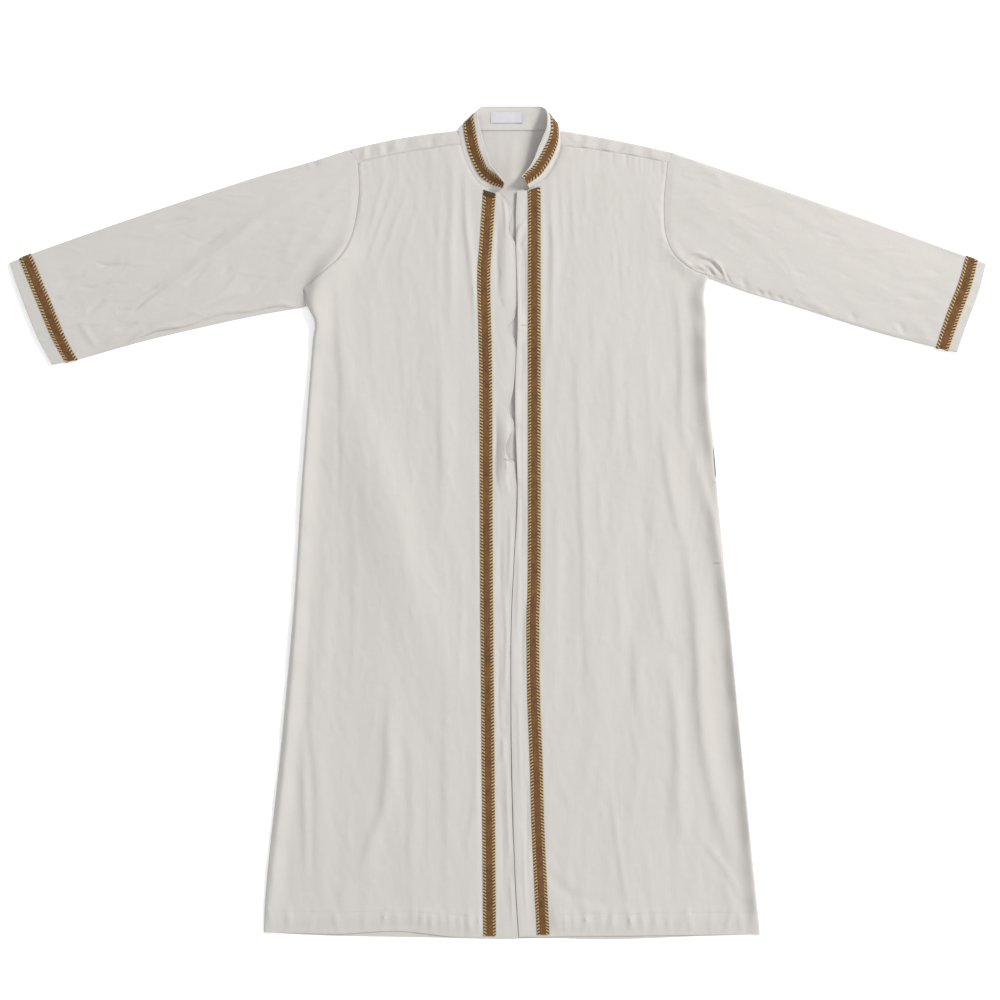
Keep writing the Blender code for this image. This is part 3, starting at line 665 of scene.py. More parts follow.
# Crests and troughs of each panel. Columns: left flank, right flank and rise in mm, then x, y points in mm.
rightFrontCreases = (
    (5, 17.1, 4.6, (-288, 327), (-289, 253), (-297, 144), (-301, 36), (-306, -57)),
    (5, 12.4, 4.2, (-305, -26), (-311, -150), (-320, -274), (-331, -398), (-343, -507), (-353, -615)),
    (46.5, 31, 5.2, (-244, 346), (-235, 257), (-201, 129), (-162, 20), (-146, -56), (-122, -129),
     (-108, -178), (-84, -225), (-49, -274), (-36, -324)),
    (6.2, 17.1, 1.7, (-88, 318), (-86, 160), (-86, 57), (-88, -34)),
    (4.7, 14, 1, (-84, -119), (-80, -200), (-80, -355), (-80, -560), (-80, -634)),
    (7.8, 18.6, 2.4, (-258, 431), (-244, 346), (-243, 268), (-236, 175)),
    (2.8, 2.8, -0.9, (-246, 291), (-247, 160), (-247, 57), (-250, 17)),
    (6.2, 5.4, 2, (-301, -321), (-298, -406), (-297, -476), (-297, -561)),
    (3.9, 21.7, 1.5, (-286, -104), (-288, -243), (-288, -329), (-280, -414), (-280, -569)),
    (7.8, 14, 2.7, (-165, -259), (-168, -329), (-171, -406), (-179, -453), (-198, -501), (-213, -553)),
    (2.3, 2.5, 0.7, (-188, -274), (-196, -343)),
    (2.8, 9.3, 1.1, (-32, -333), (-36, -431), (-49, -516)),
    (4, 5.6, 3.4, (-50, 544), (-49, 477), (-43, 415), (-35, 346), (-29, 276)),
    (7.8, 6.5, 2.2, (-71, 578), (-69, 491), (-72, 423), (-71, 291)),
    (4.7, 6.2, 1, (-88, 524), (-92, 423), (-92, 330)),
    (3.1, 5.4, 0.9, (-170, 550), (-185, 501), (-204, 431)),
    (3.1, 5.4, 1, (-154, 538), (-173, 485), (-195, 423), (-207, 384)),
    (3.1, 5.4, 0.9, (-137, 522), (-157, 470), (-179, 411), (-191, 369)),
    (3.9, 6.2, 0.7, (-120, 507), (-139, 446), (-154, 392)),
    (3.1, 3.1, 0.8, (-102, 312), (-94, 259)),
    (3.1, 3.1, 0.8, (-91, 318), (-88, 265)),
    (4.7, 10.8, 0.8, (-219, -26), (-222, -150), (-226, -290)),
    (6.2, 10.8, 0.7, (-263, -57), (-269, -166), (-274, -274)),
    (4.7, 9.3, 0.9, (-136, -330), (-133, -429), (-136, -553)),
    (4.7, 7.8, 0.6, (-111, -336), (-106, -429), (-108, -538)),
    (3.1, 4.7, 0.8, (-55, -57), (-57, -181), (-61, -259)),
    (6.2, 12.4, 0.9, (-195, 346), (-191, 253), (-185, 175)),
    (3.9, 7.8, 0.7, (-154, 346), (-148, 253), (-145, 160)),
    (7.8, 14, 1.2, (-236, -553), (-241, -592), (-238, -623)),
)
leftFrontCreases = (
    (15.5, 4.7, 5.6, (317, 374), (319, 299), (322, 191), (328, 121), (332, 76)),
    (10.1, 5.6, 4.6, (301, 113), (319, 60), (334, 5), (348, -71), (360, -150), (373, -287), (385, -406),
     (398, -560), (401, -625)),
    (6.2, 12.4, 2.8, (270, 383), (281, 329), (286, 253), (286, 164), (292, 110)),
    (6.2, 12.4, 2, (253, 167), (263, 82), (278, 6), (292, -42)),
    (9.3, 15.5, 4.2, (289, -26), (297, -65), (305, -129), (311, -200), (314, -277), (322, -355),
     (334, -414), (351, -479), (368, -525)),
    (9.3, 10.8, 3.2, (264, -205), (275, -282), (280, -355), (281, -431), (289, -499)),
    (4.7, 12.4, 1.5, (212, -169), (213, -228), (218, -299)),
    (4.7, 12.4, 1.6, (123, 291), (126, 160), (129, 31), (133, -46), (136, -175), (145, -281)),
    (3.9, 7.8, 0.8, (157, 73), (162, -51)),
    (3.1, 3.9, 1.2, (173, -398), (182, -468), (191, -529), (204, -618)),
    (4.7, 3.1, 1.3, (311, -479), (351, -532), (379, -581)),
    (7.8, 7.8, -1.7, (80, -541), (106, -572), (140, -589)),
    (6.2, 7.8, 1.2, (115, -581), (143, -597), (168, -603)),
    (4, 7.8, 2.6, (81, 550), (83, 477), (86, 423), (84, 346), (83, 259)),
    (2.8, 3.1, 1.3, (72, 501), (70, 408), (69, 276)),
    (3.1, 4.7, 0.9, (95, 563), (100, 485), (102, 405)),
    (3.1, 4.7, 0.8, (112, 556), (117, 477), (119, 423)),
    (3.9, 4.7, 0.8, (134, 553), (139, 470)),
    (3.9, 3.9, -0.8, (182, 439), (187, 392), (191, 346)),
    (3.1, 3.1, -0.6, (202, 439), (202, 395)),
    (38.8, 9.3, 2.2, (252, 539), (253, 477), (255, 405)),
    (9.3, 9.3, -1.3, (224, 36), (227, -3), (229, -45)),
    (4.7, 7.8, 0.7, (146, 353), (150, 245)),
    (4.7, 9.3, 0.9, (174, 299), (181, 191), (177, 98)),
    (4.7, 9.3, 0.8, (227, 284), (236, 191), (239, 129)),
    (4.7, 9.3, 0.9, (202, 234), (205, 144), (212, 82)),
    (4.7, 9.3, 0.9, (184, -57), (190, -150), (193, -212)),
    (6.2, 12.4, 1, (236, -57), (252, -119), (264, -197)),
    (4.7, 7.8, 0.8, (91, 82), (92, -57), (91, -181)),
    (6.2, 10.8, 1, (264, -367), (270, -429), (270, -507)),
    (4.7, 7.8, 0.8, (229, -499), (236, -553), (239, -608)),
    (3.1, 4.7, 0.9, (159, -592), (165, -631)),
    (4.7, 6.2, 0.9, (351, -553), (363, -592), (370, -628)),
)


# Puckers along a hem, x in mm, each pressed in between the stitches and the edge
hemPuckers = {
    -1: (-346, -322, -290, -246, -205, -180, -152, -131, -122, -113, -104, -96, -86, -78, -69, -58, -49,
         -40, -30),
    1: (86, 96, 101, 110, 118, 131, 144, 157, 170, 181, 203, 214, 226, 240, 252, 266, 283, 301, 330, 352, 378,
        392),
}
# Puckers below each front yoke seam, x in mm
yokePuckers = {
    -1: (-208, -197, -186, -172, -158, -141, -118, -92),
    1: (116, 134, 158, 178, 199, 208, 218, 226, 233, 240, 247, 254),
}


# Rows are dense at the yoke seam and the hem. The hem's own are counted up from its edge.
def frontRowList():
    top = (0, 0.012, 0.03, 0.06, 0.1, 0.16, 0.25, 0.36, 0.5)
    chest = np.linspace(0.65, 11, 84)
    skirt = np.linspace(11, frontRows - 1.1, 240)[1:]
    hem = frontRows - np.array((1.02, 0.96, 0.93, 0.904, 0.88, 0.84, 0.78, 0.7, 0.6, 0.5, 0.4, 0.3, 0.2, 0.12,
                                0.06, 0.03, 0.012, 0))
    return np.concatenate((top, chest, skirt, hem))


# The hem of the right front curves up a little towards its middle
def hemArch(sign, x):
    if sign > 0:
        return 0 * x
    off = np.clip((x / mm + 155) / 105, -1, 1)
    return 7 * mm * (0.5 + 0.5 * np.cos(np.pi * off))


# The raised folds along both side edges: y and the width of the inner flank in mm, and share of the full rise
sidePuffs = {
    -1: ((370, 14, 0.3), (330, 13, 0.9), (250, 14, 1.0), (150, 13, 0.9), (60, 12, 0.8), (-40, 13, 1.05),
         (-150, 15, 1.15), (-260, 17, 1.2), (-340, 16, 1.0), (-420, 15, 0.9), (-520, 14, 0.85),
         (-645, 13, 0.7)),
    1: ((390, 9, 0.8), (350, 14, 1.6), (290, 15, 1.9), (230, 13, 1.6), (150, 10, 1.0), (90, 9, 0.7),
        (0, 13, 0.8), (-100, 13, 0.8), (-200, 12, 1.0), (-300, 11, 1.2), (-400, 12, 1.1), (-500, 12, 1.1),
        (-580, 12, 1.25), (-645, 12, 1.0)),
}


def sidePuff(sign, y, inDistance):
    table = np.array(sidePuffs[sign][::-1], float)
    flank = np.interp(y / mm, table[:, 0], table[:, 1]) * mm
    rise = np.interp(y / mm, table[:, 0], table[:, 2])
    rise = rise * (1 + 0.22 * np.sin(y / (19 * mm) + sign) + 0.15 * np.sin(y / (8.7 * mm)))
    off = inDistance - front["puffCrest"][sign]
    return front["puffRise"] * rise * hump(np.maximum(off, 0), flank)


# Cloth pushed up at each underarm, the same on both sides of the seam
underarmPuffs = {
    -1: ((15, 23, 14.0, (-219, 470), (-224, 446), (-238, 421), (-260, 398), (-275, 373), (-281, 350),
          (-280, 327), (-278, 299), (-279, 262)),),
    1: ((12, 9, 3.2, (259, 450), (268, 426), (284, 406), (306, 390), (330, 380)),),
}


# Height of the cloth above the hem, with its puckers
def hemPressed(sign, x, hemUp):
    press = hump(hemUp - front["press"][0], front["press"][1])
    rise, wide = front["hemPuckerRise"], front["hemPuckerWide"]
    pressed = front["hemLoft"] * press + np.zeros(x.shape)
    for i, place in enumerate(hemPuckers[sign]):
        lean = 0.2 * mm * ((i * 37) % 11 - 5) * hemUp * 10
        height = rise[0] + rise[1] * ((i * 53) % 7) / 7
        flank = wide[0] + wide[1] * ((i * 29) % 5) / 5
        pressed += height * mm * press * hump(x - place * mm - lean, flank * mm)
    return pressed


# Depth of the puckers below the yoke seam
def yokePressed(sign, x, row):
    down = ramp(-row, -1.3, -0.02) * front["yokePucker"][sign]
    least, more = front["yokePuckerRise"]
    return sum((least + more * ((i * 31) % 5) / 5) * mm * down * hump(x - place * mm, front["yokePuckerWide"])
               for i, place in enumerate(yokePuckers[sign]))


# The pocket opening: a groove along the side seam and a raised rim
def slitHeight(y, inDistance):
    low, high = front["slit"]
    here = ramp(y, low, low + front["slitFade"]) * ramp(-y, -high, front["slitFade"] - high)
    groove = hump(inDistance - front["slitIn"], front["slitWide"])
    rim = hump(inDistance - front["slitRimIn"], front["slitRimWide"])
    return here * (front["slitRim"] * rim - front["slitDepth"] * groove)


# A front's points seen from above, how far in from its outer edge they are, and its width
def frontPlaces(half, row, side, neckSide):
    outer, inner = half.outerAt(row), half.innerAt(row)
    width = np.linalg.norm(inner - outer, axis=1)[:, None]
    edgeOut = np.repeat(np.array(front["outerEdge"])[None] * mm, len(row), 0)
    edgeIn = np.array(front["innerEdge"]) * mm
    share = np.linspace(0, 1, front["columns"])[None, :]
    middle = front["inset"][0] + (width - sum(front["inset"])) * share
    under = np.hstack((-cut["tuck"] * (1 - side), -0.5 * mm * (1 - side)))
    beyond = width + np.hstack((0.4 * mm * neckSide, cut["tuck"] * neckSide))
    inDistance = np.hstack((under, edgeOut, middle, width - edgeIn[None], beyond))
    part = inDistance / width
    x = outer[:, :1] + (inner - outer)[:, :1] * part
    y = outer[:, 1:] + (inner - outer)[:, 1:] * part
    r = row[:, None]
    bowPart = np.clip(part, 0, 1)
    y = y + cut["yokeBow"] * np.maximum(0, 1 - r / cut["neckRows"]) * 4 * bowPart * (1 - bowPart)
    y = y + hemArch(half.sign, x) * ramp(r, frontRows - 2, frontRows)
    return x, y, inDistance, width


# Its creases and unevenness, before they are eased towards its edges
def frontRelief(sign, creases, seed, x, y, nearSeam):
    relief = front["loft"] + front["creaseGain"] * creaseHeight(creases, x, y)
    for step, strength, turn, *rest in front["scatter"]:
        heading = 90 - sign * turn
        small = scatterCreases(seed + step, front["fine"], *front["scatterBox"][sign], heading, *rest)
        relief += strength * smallCreases(small, x, y)
    relief += unevenLayers(((1.0, (38, 210), -sign * 4), (0.42, (13, 80), -sign * 6), (0.2, (6, 22), 12),
                            (0.11, (4, 8), 40)), seed + 1, x, y)
    relief *= 1 - front["chestCalm"] * ramp(y, *front["chest"])
    return relief + front["seamPucker"] * unevenness(seed + 5, x, y, (6, 5), 20) * nearSeam


def makeFront(half, creases, seed):
    sign = half.sign
    row = frontRowList()
    r = row[:, None]
    side = ramp(r, *front["sideStart"])
    neckSide = 1 - ramp(r, *front["neckEnd"])
    x, y, inDistance, width = frontPlaces(half, row, side, neckSide)
    toBraid = width - inDistance
    place, reach = front["seamPuckerAt"]
    nearSeam = (1 - side) * hump(inDistance - place, reach)
    relief = frontRelief(sign, creases, seed, x, y, nearSeam)

    hemUp = frontRows - r
    pressed = hemPressed(sign, x, hemUp)
    relief -= yokePressed(sign, x, r)

    # ease towards every edge
    easeSide = (1 - side) * ramp(inDistance, 0, front["armEase"]) + side
    easeTop = ramp(r, *front["yokeEase"])
    offStrip = ramp(toBraid, *front["braidEase"])
    easeNeck = neckSide * ramp(toBraid, 0, front["neckEase"]) + (1 - neckSide) * offStrip
    easeHem = 0.5 + 0.5 * ramp(hemUp, 0.0, front["hemEase"])
    relief = (relief * easeHem + pressed) * easeSide * easeTop * easeNeck

    flat = stack + neckLift(x, y)
    strip = half.stripHeight(y)
    onStrip = (1 - neckSide) * (1 - offStrip)
    z = flat * (1 - onStrip) + strip * onStrip + relief
    drop, rows = front["hemDrop"]
    z = z - (1 - ramp(hemUp, 0, rows)) * drop * (1 - onStrip)
    z = z + side * sidePuff(sign, y, inDistance) * (0.55 + 0.45 * ramp(hemUp, 0, 1))
    z = z + creaseHeight(underarmPuffs[sign], x, y) * easeTop
    rolled = rollIn(inDistance, front["roll"][sign])
    low = cut["backTop"] + cut["shell"]
    z = z * (1 - side) + side * (low + (z - low) * rolled)
    dip = front["seamDip"] * (1 - rollIn(np.maximum(inDistance, 0), front["seamRoll"]))
    z = z - (1 - side) * dip
    height, place, wide = front["ridge"]
    z = z + (1 - side) * height * hump(inDistance - place, wide)
    drop, rows = front["yokeDrop"]
    z = z - drop * hump(r, rows)
    stitch = hump(hemUp - front["hemStitch"], front["stitchWide"])
    z = z - front["stitchDip"] * stitch * (1 + 0.8 * unevenness(seed + 9, x, y, (9, 400)))
    drop, rows = front["hemEdge"]
    z = z - (1 - ramp(hemUp, 0, rows)) * drop
    if sign > 0:
        z = z + slitHeight(y, inDistance)
    z = np.maximum(z, low)

    # edges that run on under their neighbours
    z[:, 0] -= (0.8 * (1 - side[:, 0]) + 0.45 * side[:, 0]) * mm
    z[:, 1] -= (0.5 * (1 - side[:, 0]) + 0.2 * side[:, 0]) * mm
    z[:, -1] = z[:, -3] - 1.0 * mm * neckSide[:, 0] - 0.02 * mm
    z[:, -2] = z[:, -3] - 0.5 * mm * neckSide[:, 0] - 0.01 * mm
    x[:, -2:] = np.where(neckSide > 0.001, x[:, -2:], x[:, -3:-2] - sign * np.array((0.02, 0.04)) * mm)
    grid = np.stack((x, y, z), axis=-1)
    first = grid[0].copy()
    first[:, 1] += cut["tuck"]
    first[:, 2] = np.maximum(first[:, 2] - 0.7 * mm, 1.3 * mm)
    return np.concatenate((first[None], grid))


# The short creases are straight, so one segment each is enough
def smallCreases(creases, x, y):
    height = np.zeros(x.shape)
    for leftFlank, rightFlank, rise, start, middle, end in creases:
        wide = 2.3 * max(leftFlank, rightFlank) * mm
        low = np.minimum(start, end) - wide
        high = np.maximum(start, end) + wide
        near = (x > low[0]) & (x < high[0]) & (y > low[1]) & (y < high[1])
        if not near.any():
            continue
        way = end - start
        size = np.hypot(*way)
        px, py = x[near] - start[0], y[near] - start[1]
        part = (px * way[0] + py * way[1]) / size**2
        bow = np.dot(middle - (start + end) / 2, (-way[1], way[0])) / size
        off = (py * way[0] - px * way[1]) / size - bow * 4 * part * (1 - part)
        width = np.where(off > 0, rightFlank, leftFlank) * mm
        fade = np.sin(np.pi * np.clip(part, 0, 1))**1.5
        height[near] += rise * mm * fade * hump(off, width)
    return height


rightFrontGrid = makeFront(right, rightFrontCreases, 11)
leftFrontGrid = makeFront(left, leftFrontCreases, 23)
rightFrontCloth = dress(makeShell("rightFrontCloth", rightFrontGrid, cut["shell"]), ["right_front"])
leftFrontCloth = dress(makeShell("leftFrontCloth", leftFrontGrid, cut["shell"]), ["left_front"])


# Back
back = {
    "rows": 150,
    "columns": 80,
    "edge": (0, 0.5, 1.2, 2.4),     # mm in from each side seam
    "sideRoll": 1.4 * mm,
    "edgeDip": 0.12 * mm,
    "fine": 120,
    "most": 0.8 * mm,           # the fronts lie on it, so it is nearly flat
}
backCreases = (
    (9, 14, 0.9, (-60, 500), (-48, 380), (-70, 200)), (12, 8, 0.8, (120, 500), (100, 330), (130, 60)),
    (16, 20, 1.0, (-180, 260), (-210, -60), (-240, -400)),
    (18, 14, 1.0, (200, 240), (250, -100), (290, -480)),
    (20, 16, 0.9, (-30, 60), (-20, -240), (-60, -560)), (14, 18, 0.8, (90, -40), (110, -300), (90, -600)),
    (10, 12, 0.7, (-280, -100), (-300, -340), (-310, -560)),
    (10, 14, 0.7, (330, -60), (350, -320), (370, -560)),
)


def makeBack():
    skip = cut["yokeBackRow"] - cut["yokeFrontRow"]
    row = np.linspace(skip, frontRows, back["rows"])
    row = np.concatenate((row[:-1], frontRows - np.array((0.06, 0.02, 0))))
    start, end = right.outerAt(row), left.outerAt(row)
    span = np.linalg.norm(end - start, axis=1)[:, None]
    edge = np.array(back["edge"]) * mm
    middle = 5 * mm + (span - 10 * mm) * np.linspace(0, 1, back["columns"])[None, :]
    inDistance = np.hstack((np.repeat(edge[None], len(row), 0), middle, span - edge[::-1][None]))
    part = inDistance / span
    x = start[:, :1] + (end - start)[:, :1] * part
    y = start[:, 1:] + (end - start)[:, 1:] * part
    hem = smoothCurve(hemLine)
    low = np.interp(x[-1], hem[:, 0], hem[:, 1])
    y = y + (low - y[-1]) * ramp(row[:, None], frontRows - 2, frontRows)
    y[0] -= cut["gap"]
    relief = creaseHeight(backCreases, x, y)
    relief += 0.5 * mm * unevenness(71, x, y, (46, 190), 3)
    fine = scatterCreases(72, back["fine"], (-0.36, -0.62), (0.40, 0.48), 90, 22, (0.03, 0.12), (3, 7),
                          (0.15, 0.4))
    relief += smallCreases(fine, x, y)
    near = np.minimum(inDistance, span - inDistance)
    ease = ramp(near, 4 * mm, 30 * mm) * ramp(row[:, None], skip, skip + 0.5)
    ease = ease * ramp(frontRows - row[:, None], 0, 0.8)
    relief = np.clip(relief * ease, 0, back["most"])
    z = cut["backTop"] + relief
    z = z - back["edgeDip"] * (1 - rollIn(near, back["sideRoll"]))
    z = z - back["edgeDip"] * (1 - ramp(frontRows - row[:, None], 0, 0.06))
    return np.stack((x, y, z), axis=-1)


backGrid = makeBack()
backCloth = dress(makeShell("backCloth", backGrid, cut["shell"]), ["back"])


# Sleeves
# Outlines from the armhole to the cuff, and the cuff's edge from top to bottom, x and y in mm
rightSleeve = {
    "top": ((-231, 578), (-298, 557), (-376, 535), (-531, 484), (-686, 430), (-756, 403)),
    "bottom": ((-296.2, 335), (-391, 318), (-515, 290), (-577, 274), (-640, 256), (-690, 245)),
    "cuff": ((-756, 403), (-741, 361), (-713, 290), (-690, 245)),
    "box": ((-0.74, 0.25), (-0.22, 0.56)),      # where small creases are scattered
    "turn": 108.5,
    "gain": 2.4,                # how strongly its creases stand out
    "bottomRoll": 2.2 * mm,
    "braid": (26.5 * mm, 4.5 * mm),     # from the cuff's edge to its middle, and how much more at the bottom
    "peek": ((14, 0), (34, 5), (60, 8.5), (120, 9.5), (230, 8), (262, 5), (280, 0)),
}
leftSleeve = {
    "top": ((270, 574), (391, 533), (515, 490), (639, 445), (756, 402)),
    "bottom": ((330, 378), (391, 356), (453, 338), (577, 299), (639, 282), (711, 264)),
    "cuff": ((756, 402), (746, 361), (728, 312), (711, 264)),
    "box": ((0.27, 0.26), (0.74, 0.56)),
    "turn": 70.5,
    "gain": 1.5,
    "bottomRoll": 4.6 * mm,
    "braid": (22.8 * mm, 0.6 * mm),
    "peek": ((0, 0), (400, 0)),
}
sleeve = {
    "stations": 160,            # rings between the armhole and the cuff's trim
    "over": 82,                 # points across the upper side
    "overEdge": (0.5, 1.3, 2.5, 4.2, 6.0, 7.4, 8.6, 9.8, 11.4, 13.6),
    "under": 20,
    "edge": (0.5, 1.3, 2.5, 4.2, 6.5),  # mm in from each folded edge
    "topRoll": 4.5 * mm,
    "peekRoll": 2.6 * mm,
    "peekRise": 2.4 * mm,       # the folded-back edge stands up
    "peekBack": 4 * mm,
    "peekHeight": 0.7 * mm,     # height of the layer that shows beyond it
    "underRoll": 2.4 * mm,
    "crown": 3.1 * mm,
    "seamRoll": 2.2 * mm,
    "seamDip": 0.8 * mm,
    "trimStart": 72 * mm,       # from the cuff's edge, where the cloth starts to rise over the trim below
    "trimFull": 37 * mm,
    "lift": 1.9 * mm,
    "fine": 130,
    "seamShares": (0, 0.0006, 0.0015, 0.003, 0.006, 0.011),     # places of the first rings, of its length
    "cuffRings": 18,
    "cuffEnds": (1.2, 0.5, 0),  # mm from the cuff's edge
    "cuffTurn": 0.75,           # the end of the cuff turns in a little
    "least": 0.6 * mm,          # height of the upper side over the folds
}
rightSleeveCreases = (
    (12.4, 6.2, 1.9, (-280, 519), (-362, 474), (-415, 431), (-458, 400), (-522, 358), (-588, 315)),
    (3.1, 3.1, -0.7, (-463, 471), (-492, 465), (-523, 457)),
    (2.8, 2.8, -1.2, (-511, 369), (-540, 349), (-567, 326)),
    (2.8, 2.8, -0.7, (-525, 367), (-545, 360)),
    (3.1, 3.1, -0.8, (-556, 310), (-591, 298)),
    (3.0, 3.0, -1.1, (-478, 472), (-500, 468), (-529, 458)),
    (3.0, 4.0, -0.9, (-420, 455), (-446, 438), (-470, 425)),
    (2.6, 2.6, -1.0, (-570, 402), (-596, 398), (-622, 402)),
    (2.6, 2.6, -0.8, (-600, 372), (-622, 364), (-650, 366)),
    (2.6, 2.6, -0.9, (-548, 340), (-566, 330), (-590, 328)),
    (12.4, 6.2, 1.4, (-384, 361), (-427, 349), (-477, 327), (-539, 304)),
    (3.1, 3.1, -0.8, (-638, 384), (-681, 369)),
    (3.1, 3.1, -0.8, (-672, 349), (-694, 344)),
    (3.1, 3.1, -0.9, (-647, 307), (-672, 293)),
    (4.7, 6.2, 0.7, (-646, 312), (-636, 293), (-622, 273)),
    (3.4, 3.4, -0.9, (-607, 346), (-635, 327)),
    (3.9, 3.9, -0.7, (-585, 411), (-619, 392), (-650, 383)),
    (6.2, 9.3, 0.6, (-252, 493), (-268, 456), (-284, 430)),
    (15, 11, 0.8, (-262, 452), (-286, 424), (-316, 392), (-334, 366)),
    (8, 9, -1.0, (-250, 418), (-268, 397), (-290, 377), (-302, 354)),
    (3.1, 6.2, 0.9, (-238, 532), (-257, 516), (-278, 507)),
    (4.7, 4.7, -0.8, (-443, 411), (-467, 383), (-483, 367)),
    (3.1, 3.1, -0.6, (-412, 398), (-427, 386)),
    (6.2, 7.8, 0.35, (-306, 462), (-322, 429), (-332, 405)),
    (6.2, 7.8, 1.2, (-243, 578), (-267, 566), (-298, 556)),
    (4.7, 4.7, -1.2, (-278, 563), (-288, 553)),
)
leftSleeveCreases = (
    (3.4, 3.0, 2.0, (290, 408), (300, 417), (312, 418), (324, 413)),
    (2.4, 2.4, -2.6, (296, 400), (311, 408), (330, 404), (344, 391), (352, 378)),
    (2.8, 2.8, 2.2, (334, 408), (346, 395), (356, 374)),
    (2.4, 2.4, 1.6, (320, 398), (330, 397), (338, 385)),
    (2.2, 2.2, -2.0, (326, 392), (332, 388), (336, 380)),
    (2.2, 2.2, -1.6, (348, 398), (354, 384), (362, 370)),
    (2.2, 2.6, 1.5, (304, 400), (312, 398), (322, 393)),
    (2.2, 2.2, -1.5, (300, 394), (314, 391), (322, 388)),
    (3.1, 3.1, -0.8, (365, 485), (394, 488), (425, 491)),
    (3.9, 3.9, -0.5, (288, 445), (315, 459)),
    (4.7, 4.7, -1.3, (286, 555), (298, 560), (311, 563)),
    (7.8, 7.8, 1, (314, 550), (339, 538), (351, 516)),
    (3.1, 3.1, -1.1, (405, 363), (410, 350)),
    (3.1, 3.1, -1.3, (418, 360), (424, 346)),
    (3.1, 3.1, -1.1, (435, 353), (441, 341)),
    (3.1, 3.1, -0.9, (450, 349), (455, 338)),
    (4.7, 4.7, -1.2, (379, 380), (387, 361)),
    (6.2, 6.2, 0.9, (469, 346), (497, 336), (518, 322)),
    (4.7, 4.7, -0.9, (546, 327), (556, 312)),
    (4.7, 4.7, -1, (622, 312), (629, 293)),
    (7.8, 10.8, 1, (632, 318), (652, 305), (670, 281)),
    (3.1, 3.1, -0.6, (494, 451), (534, 439)),
    (3.1, 3.1, -0.5, (593, 423), (639, 417)),
    (4.7, 4.7, 0.3, (430, 423), (453, 395), (463, 367)),
    (6.2, 9.3, 0.4, (384, 439), (430, 405), (469, 361)),
    (4.7, 4.7, -0.6, (636, 346), (680, 343)),
)


# One ring of a sleeve's outer side: from the top fold under to the bottom fold, then back over
def sleeveRing(half, shape, topDistance, bottomDistance, fromCuff, creases, small, seed, ease, dip=0.0):
    topLine, bottomLine = shape["curves"]
    across, turn = shape["across"], shape["turn"]
    u = topDistance / lengths(topLine)[-1]
    line = (1 - u) * shape["armLine"] + u * shape["cuffLine"]
    top = along(topLine, [topDistance])[0]
    bottom = along(bottomLine, [bottomDistance])[0]
    line = line + (1 - across)[:, None] * (top - line[0]) + across[:, None] * (bottom - line[-1])
    run = lengths(line)
    span = run[-1]
    edge = np.array(sleeve["edge"]) * mm
    lift = sleeve["lift"] * ramp(sleeve["trimStart"] - fromCuff, 0, sleeve["trimStart"] - sleeve["trimFull"])

    inner = np.linspace(9 * mm, span - 9 * mm, sleeve["under"])
    underD = np.concatenate((edge, inner, span - edge[::-1]))
    under = readAt(underD, run, line)
    nearU = np.minimum(underD, span - underD)
    waves = 0.5 * mm + 0.5 * mm * unevenness(seed + 5, under[:, 0], under[:, 1], (30, 60), turn)
    middle = stack / 2
    zUnder = lift + middle * (1 - rollIn(nearU, sleeve["underRoll"]))
    zUnder = zUnder + np.clip(waves, 0, 0.8 * mm) * ramp(nearU, 6 * mm, 30 * mm) * ease

    edge = np.array(sleeve["overEdge"]) * mm
    inner = np.linspace(16 * mm, span - 16 * mm, sleeve["over"])
    overD = np.concatenate((edge, inner, span - edge[::-1]))
    over = readAt(overD, run, line)
    x, y = over[:, 0], over[:, 1]
    nearO = np.minimum(overD, span - overD)
    relief = shape["gain"] * (creaseHeight(creases, x, y) + smallCreases(small, x, y))
    relief += unevenLayers(((0.8, (34, 120), turn), (0.38, (13, 46), turn - 10), (0.16, (7, 14), turn + 25)),
                           seed + 1, x, y)
    relief *= ramp(nearO, 0, 5 * mm)
    bulge = np.sin(np.pi * overD / span)**0.8 * sleeve["crown"]
    # along part of the lower edge the upper layer folds back and the layer below shows beyond it
    peekAt, peekWide = np.array(shape["peek"], float).T * mm
    peek = np.interp(bottomDistance, peekAt, peekWide) * (1 + 0.25 * np.sin(bottomDistance / (17 * mm)))
    fromBottom = span - overD
    foldOrPaintedShade = min(1.0, peek / sleeve["peekBack"])
    step = rollIn(np.maximum(fromBottom - peek, 0), sleeve["peekRoll"])
    relief += foldOrPaintedShade * sleeve["peekRise"] * hump(fromBottom - peek - sleeve["peekBack"], sleeve["peekBack"])
    high = middle + ease * (relief + bulge) + creaseHeight(underarmPuffs[half.sign], x, y)
    high = np.maximum(high, sleeve["least"])
    below = sleeve["peekHeight"]
    high = high * (1 - foldOrPaintedShade) + foldOrPaintedShade * (below + (high - below) * step)
    roll = np.where(overD < span / 2, sleeve["topRoll"], shape["bottomRoll"])
    zOver = lift + middle + high * rollIn(nearO, roll * (0.35 + 0.65 * ease)) - dip
    first = np.array([[*line[0], lift + middle]])
    last = np.array([[*line[-1], lift + middle]])
    return np.vstack((first, np.column_stack((under, zUnder)), last, np.column_stack((over, zOver))[::-1]))


def prepareSleeve(half, shape):
    rows = np.linspace(0, 12, 121)
    shape["armLine"] = half.armholeAt(rows)
    shape["across"] = lengths(shape["armLine"]) / lengths(shape["armLine"])[-1]
    cuff = smoothCurve(shape["cuff"])
    shape["cuffLine"] = along(cuff, shape["across"] * lengths(cuff)[-1])
    shape["curves"] = (smoothCurve(shape["top"]), smoothCurve(shape["bottom"]))


# One ring at a distance from the cuff's edge
def cuffRing(half, shape, fromCuff, creases, small, seed, slant=0.0):
    far = [lengths(curve)[-1] for curve in shape["curves"]]
    low = far[1] - fromCuff - slant
    return sleeveRing(half, shape, far[0] - fromCuff, low, fromCuff, creases, small, seed, 1.0)


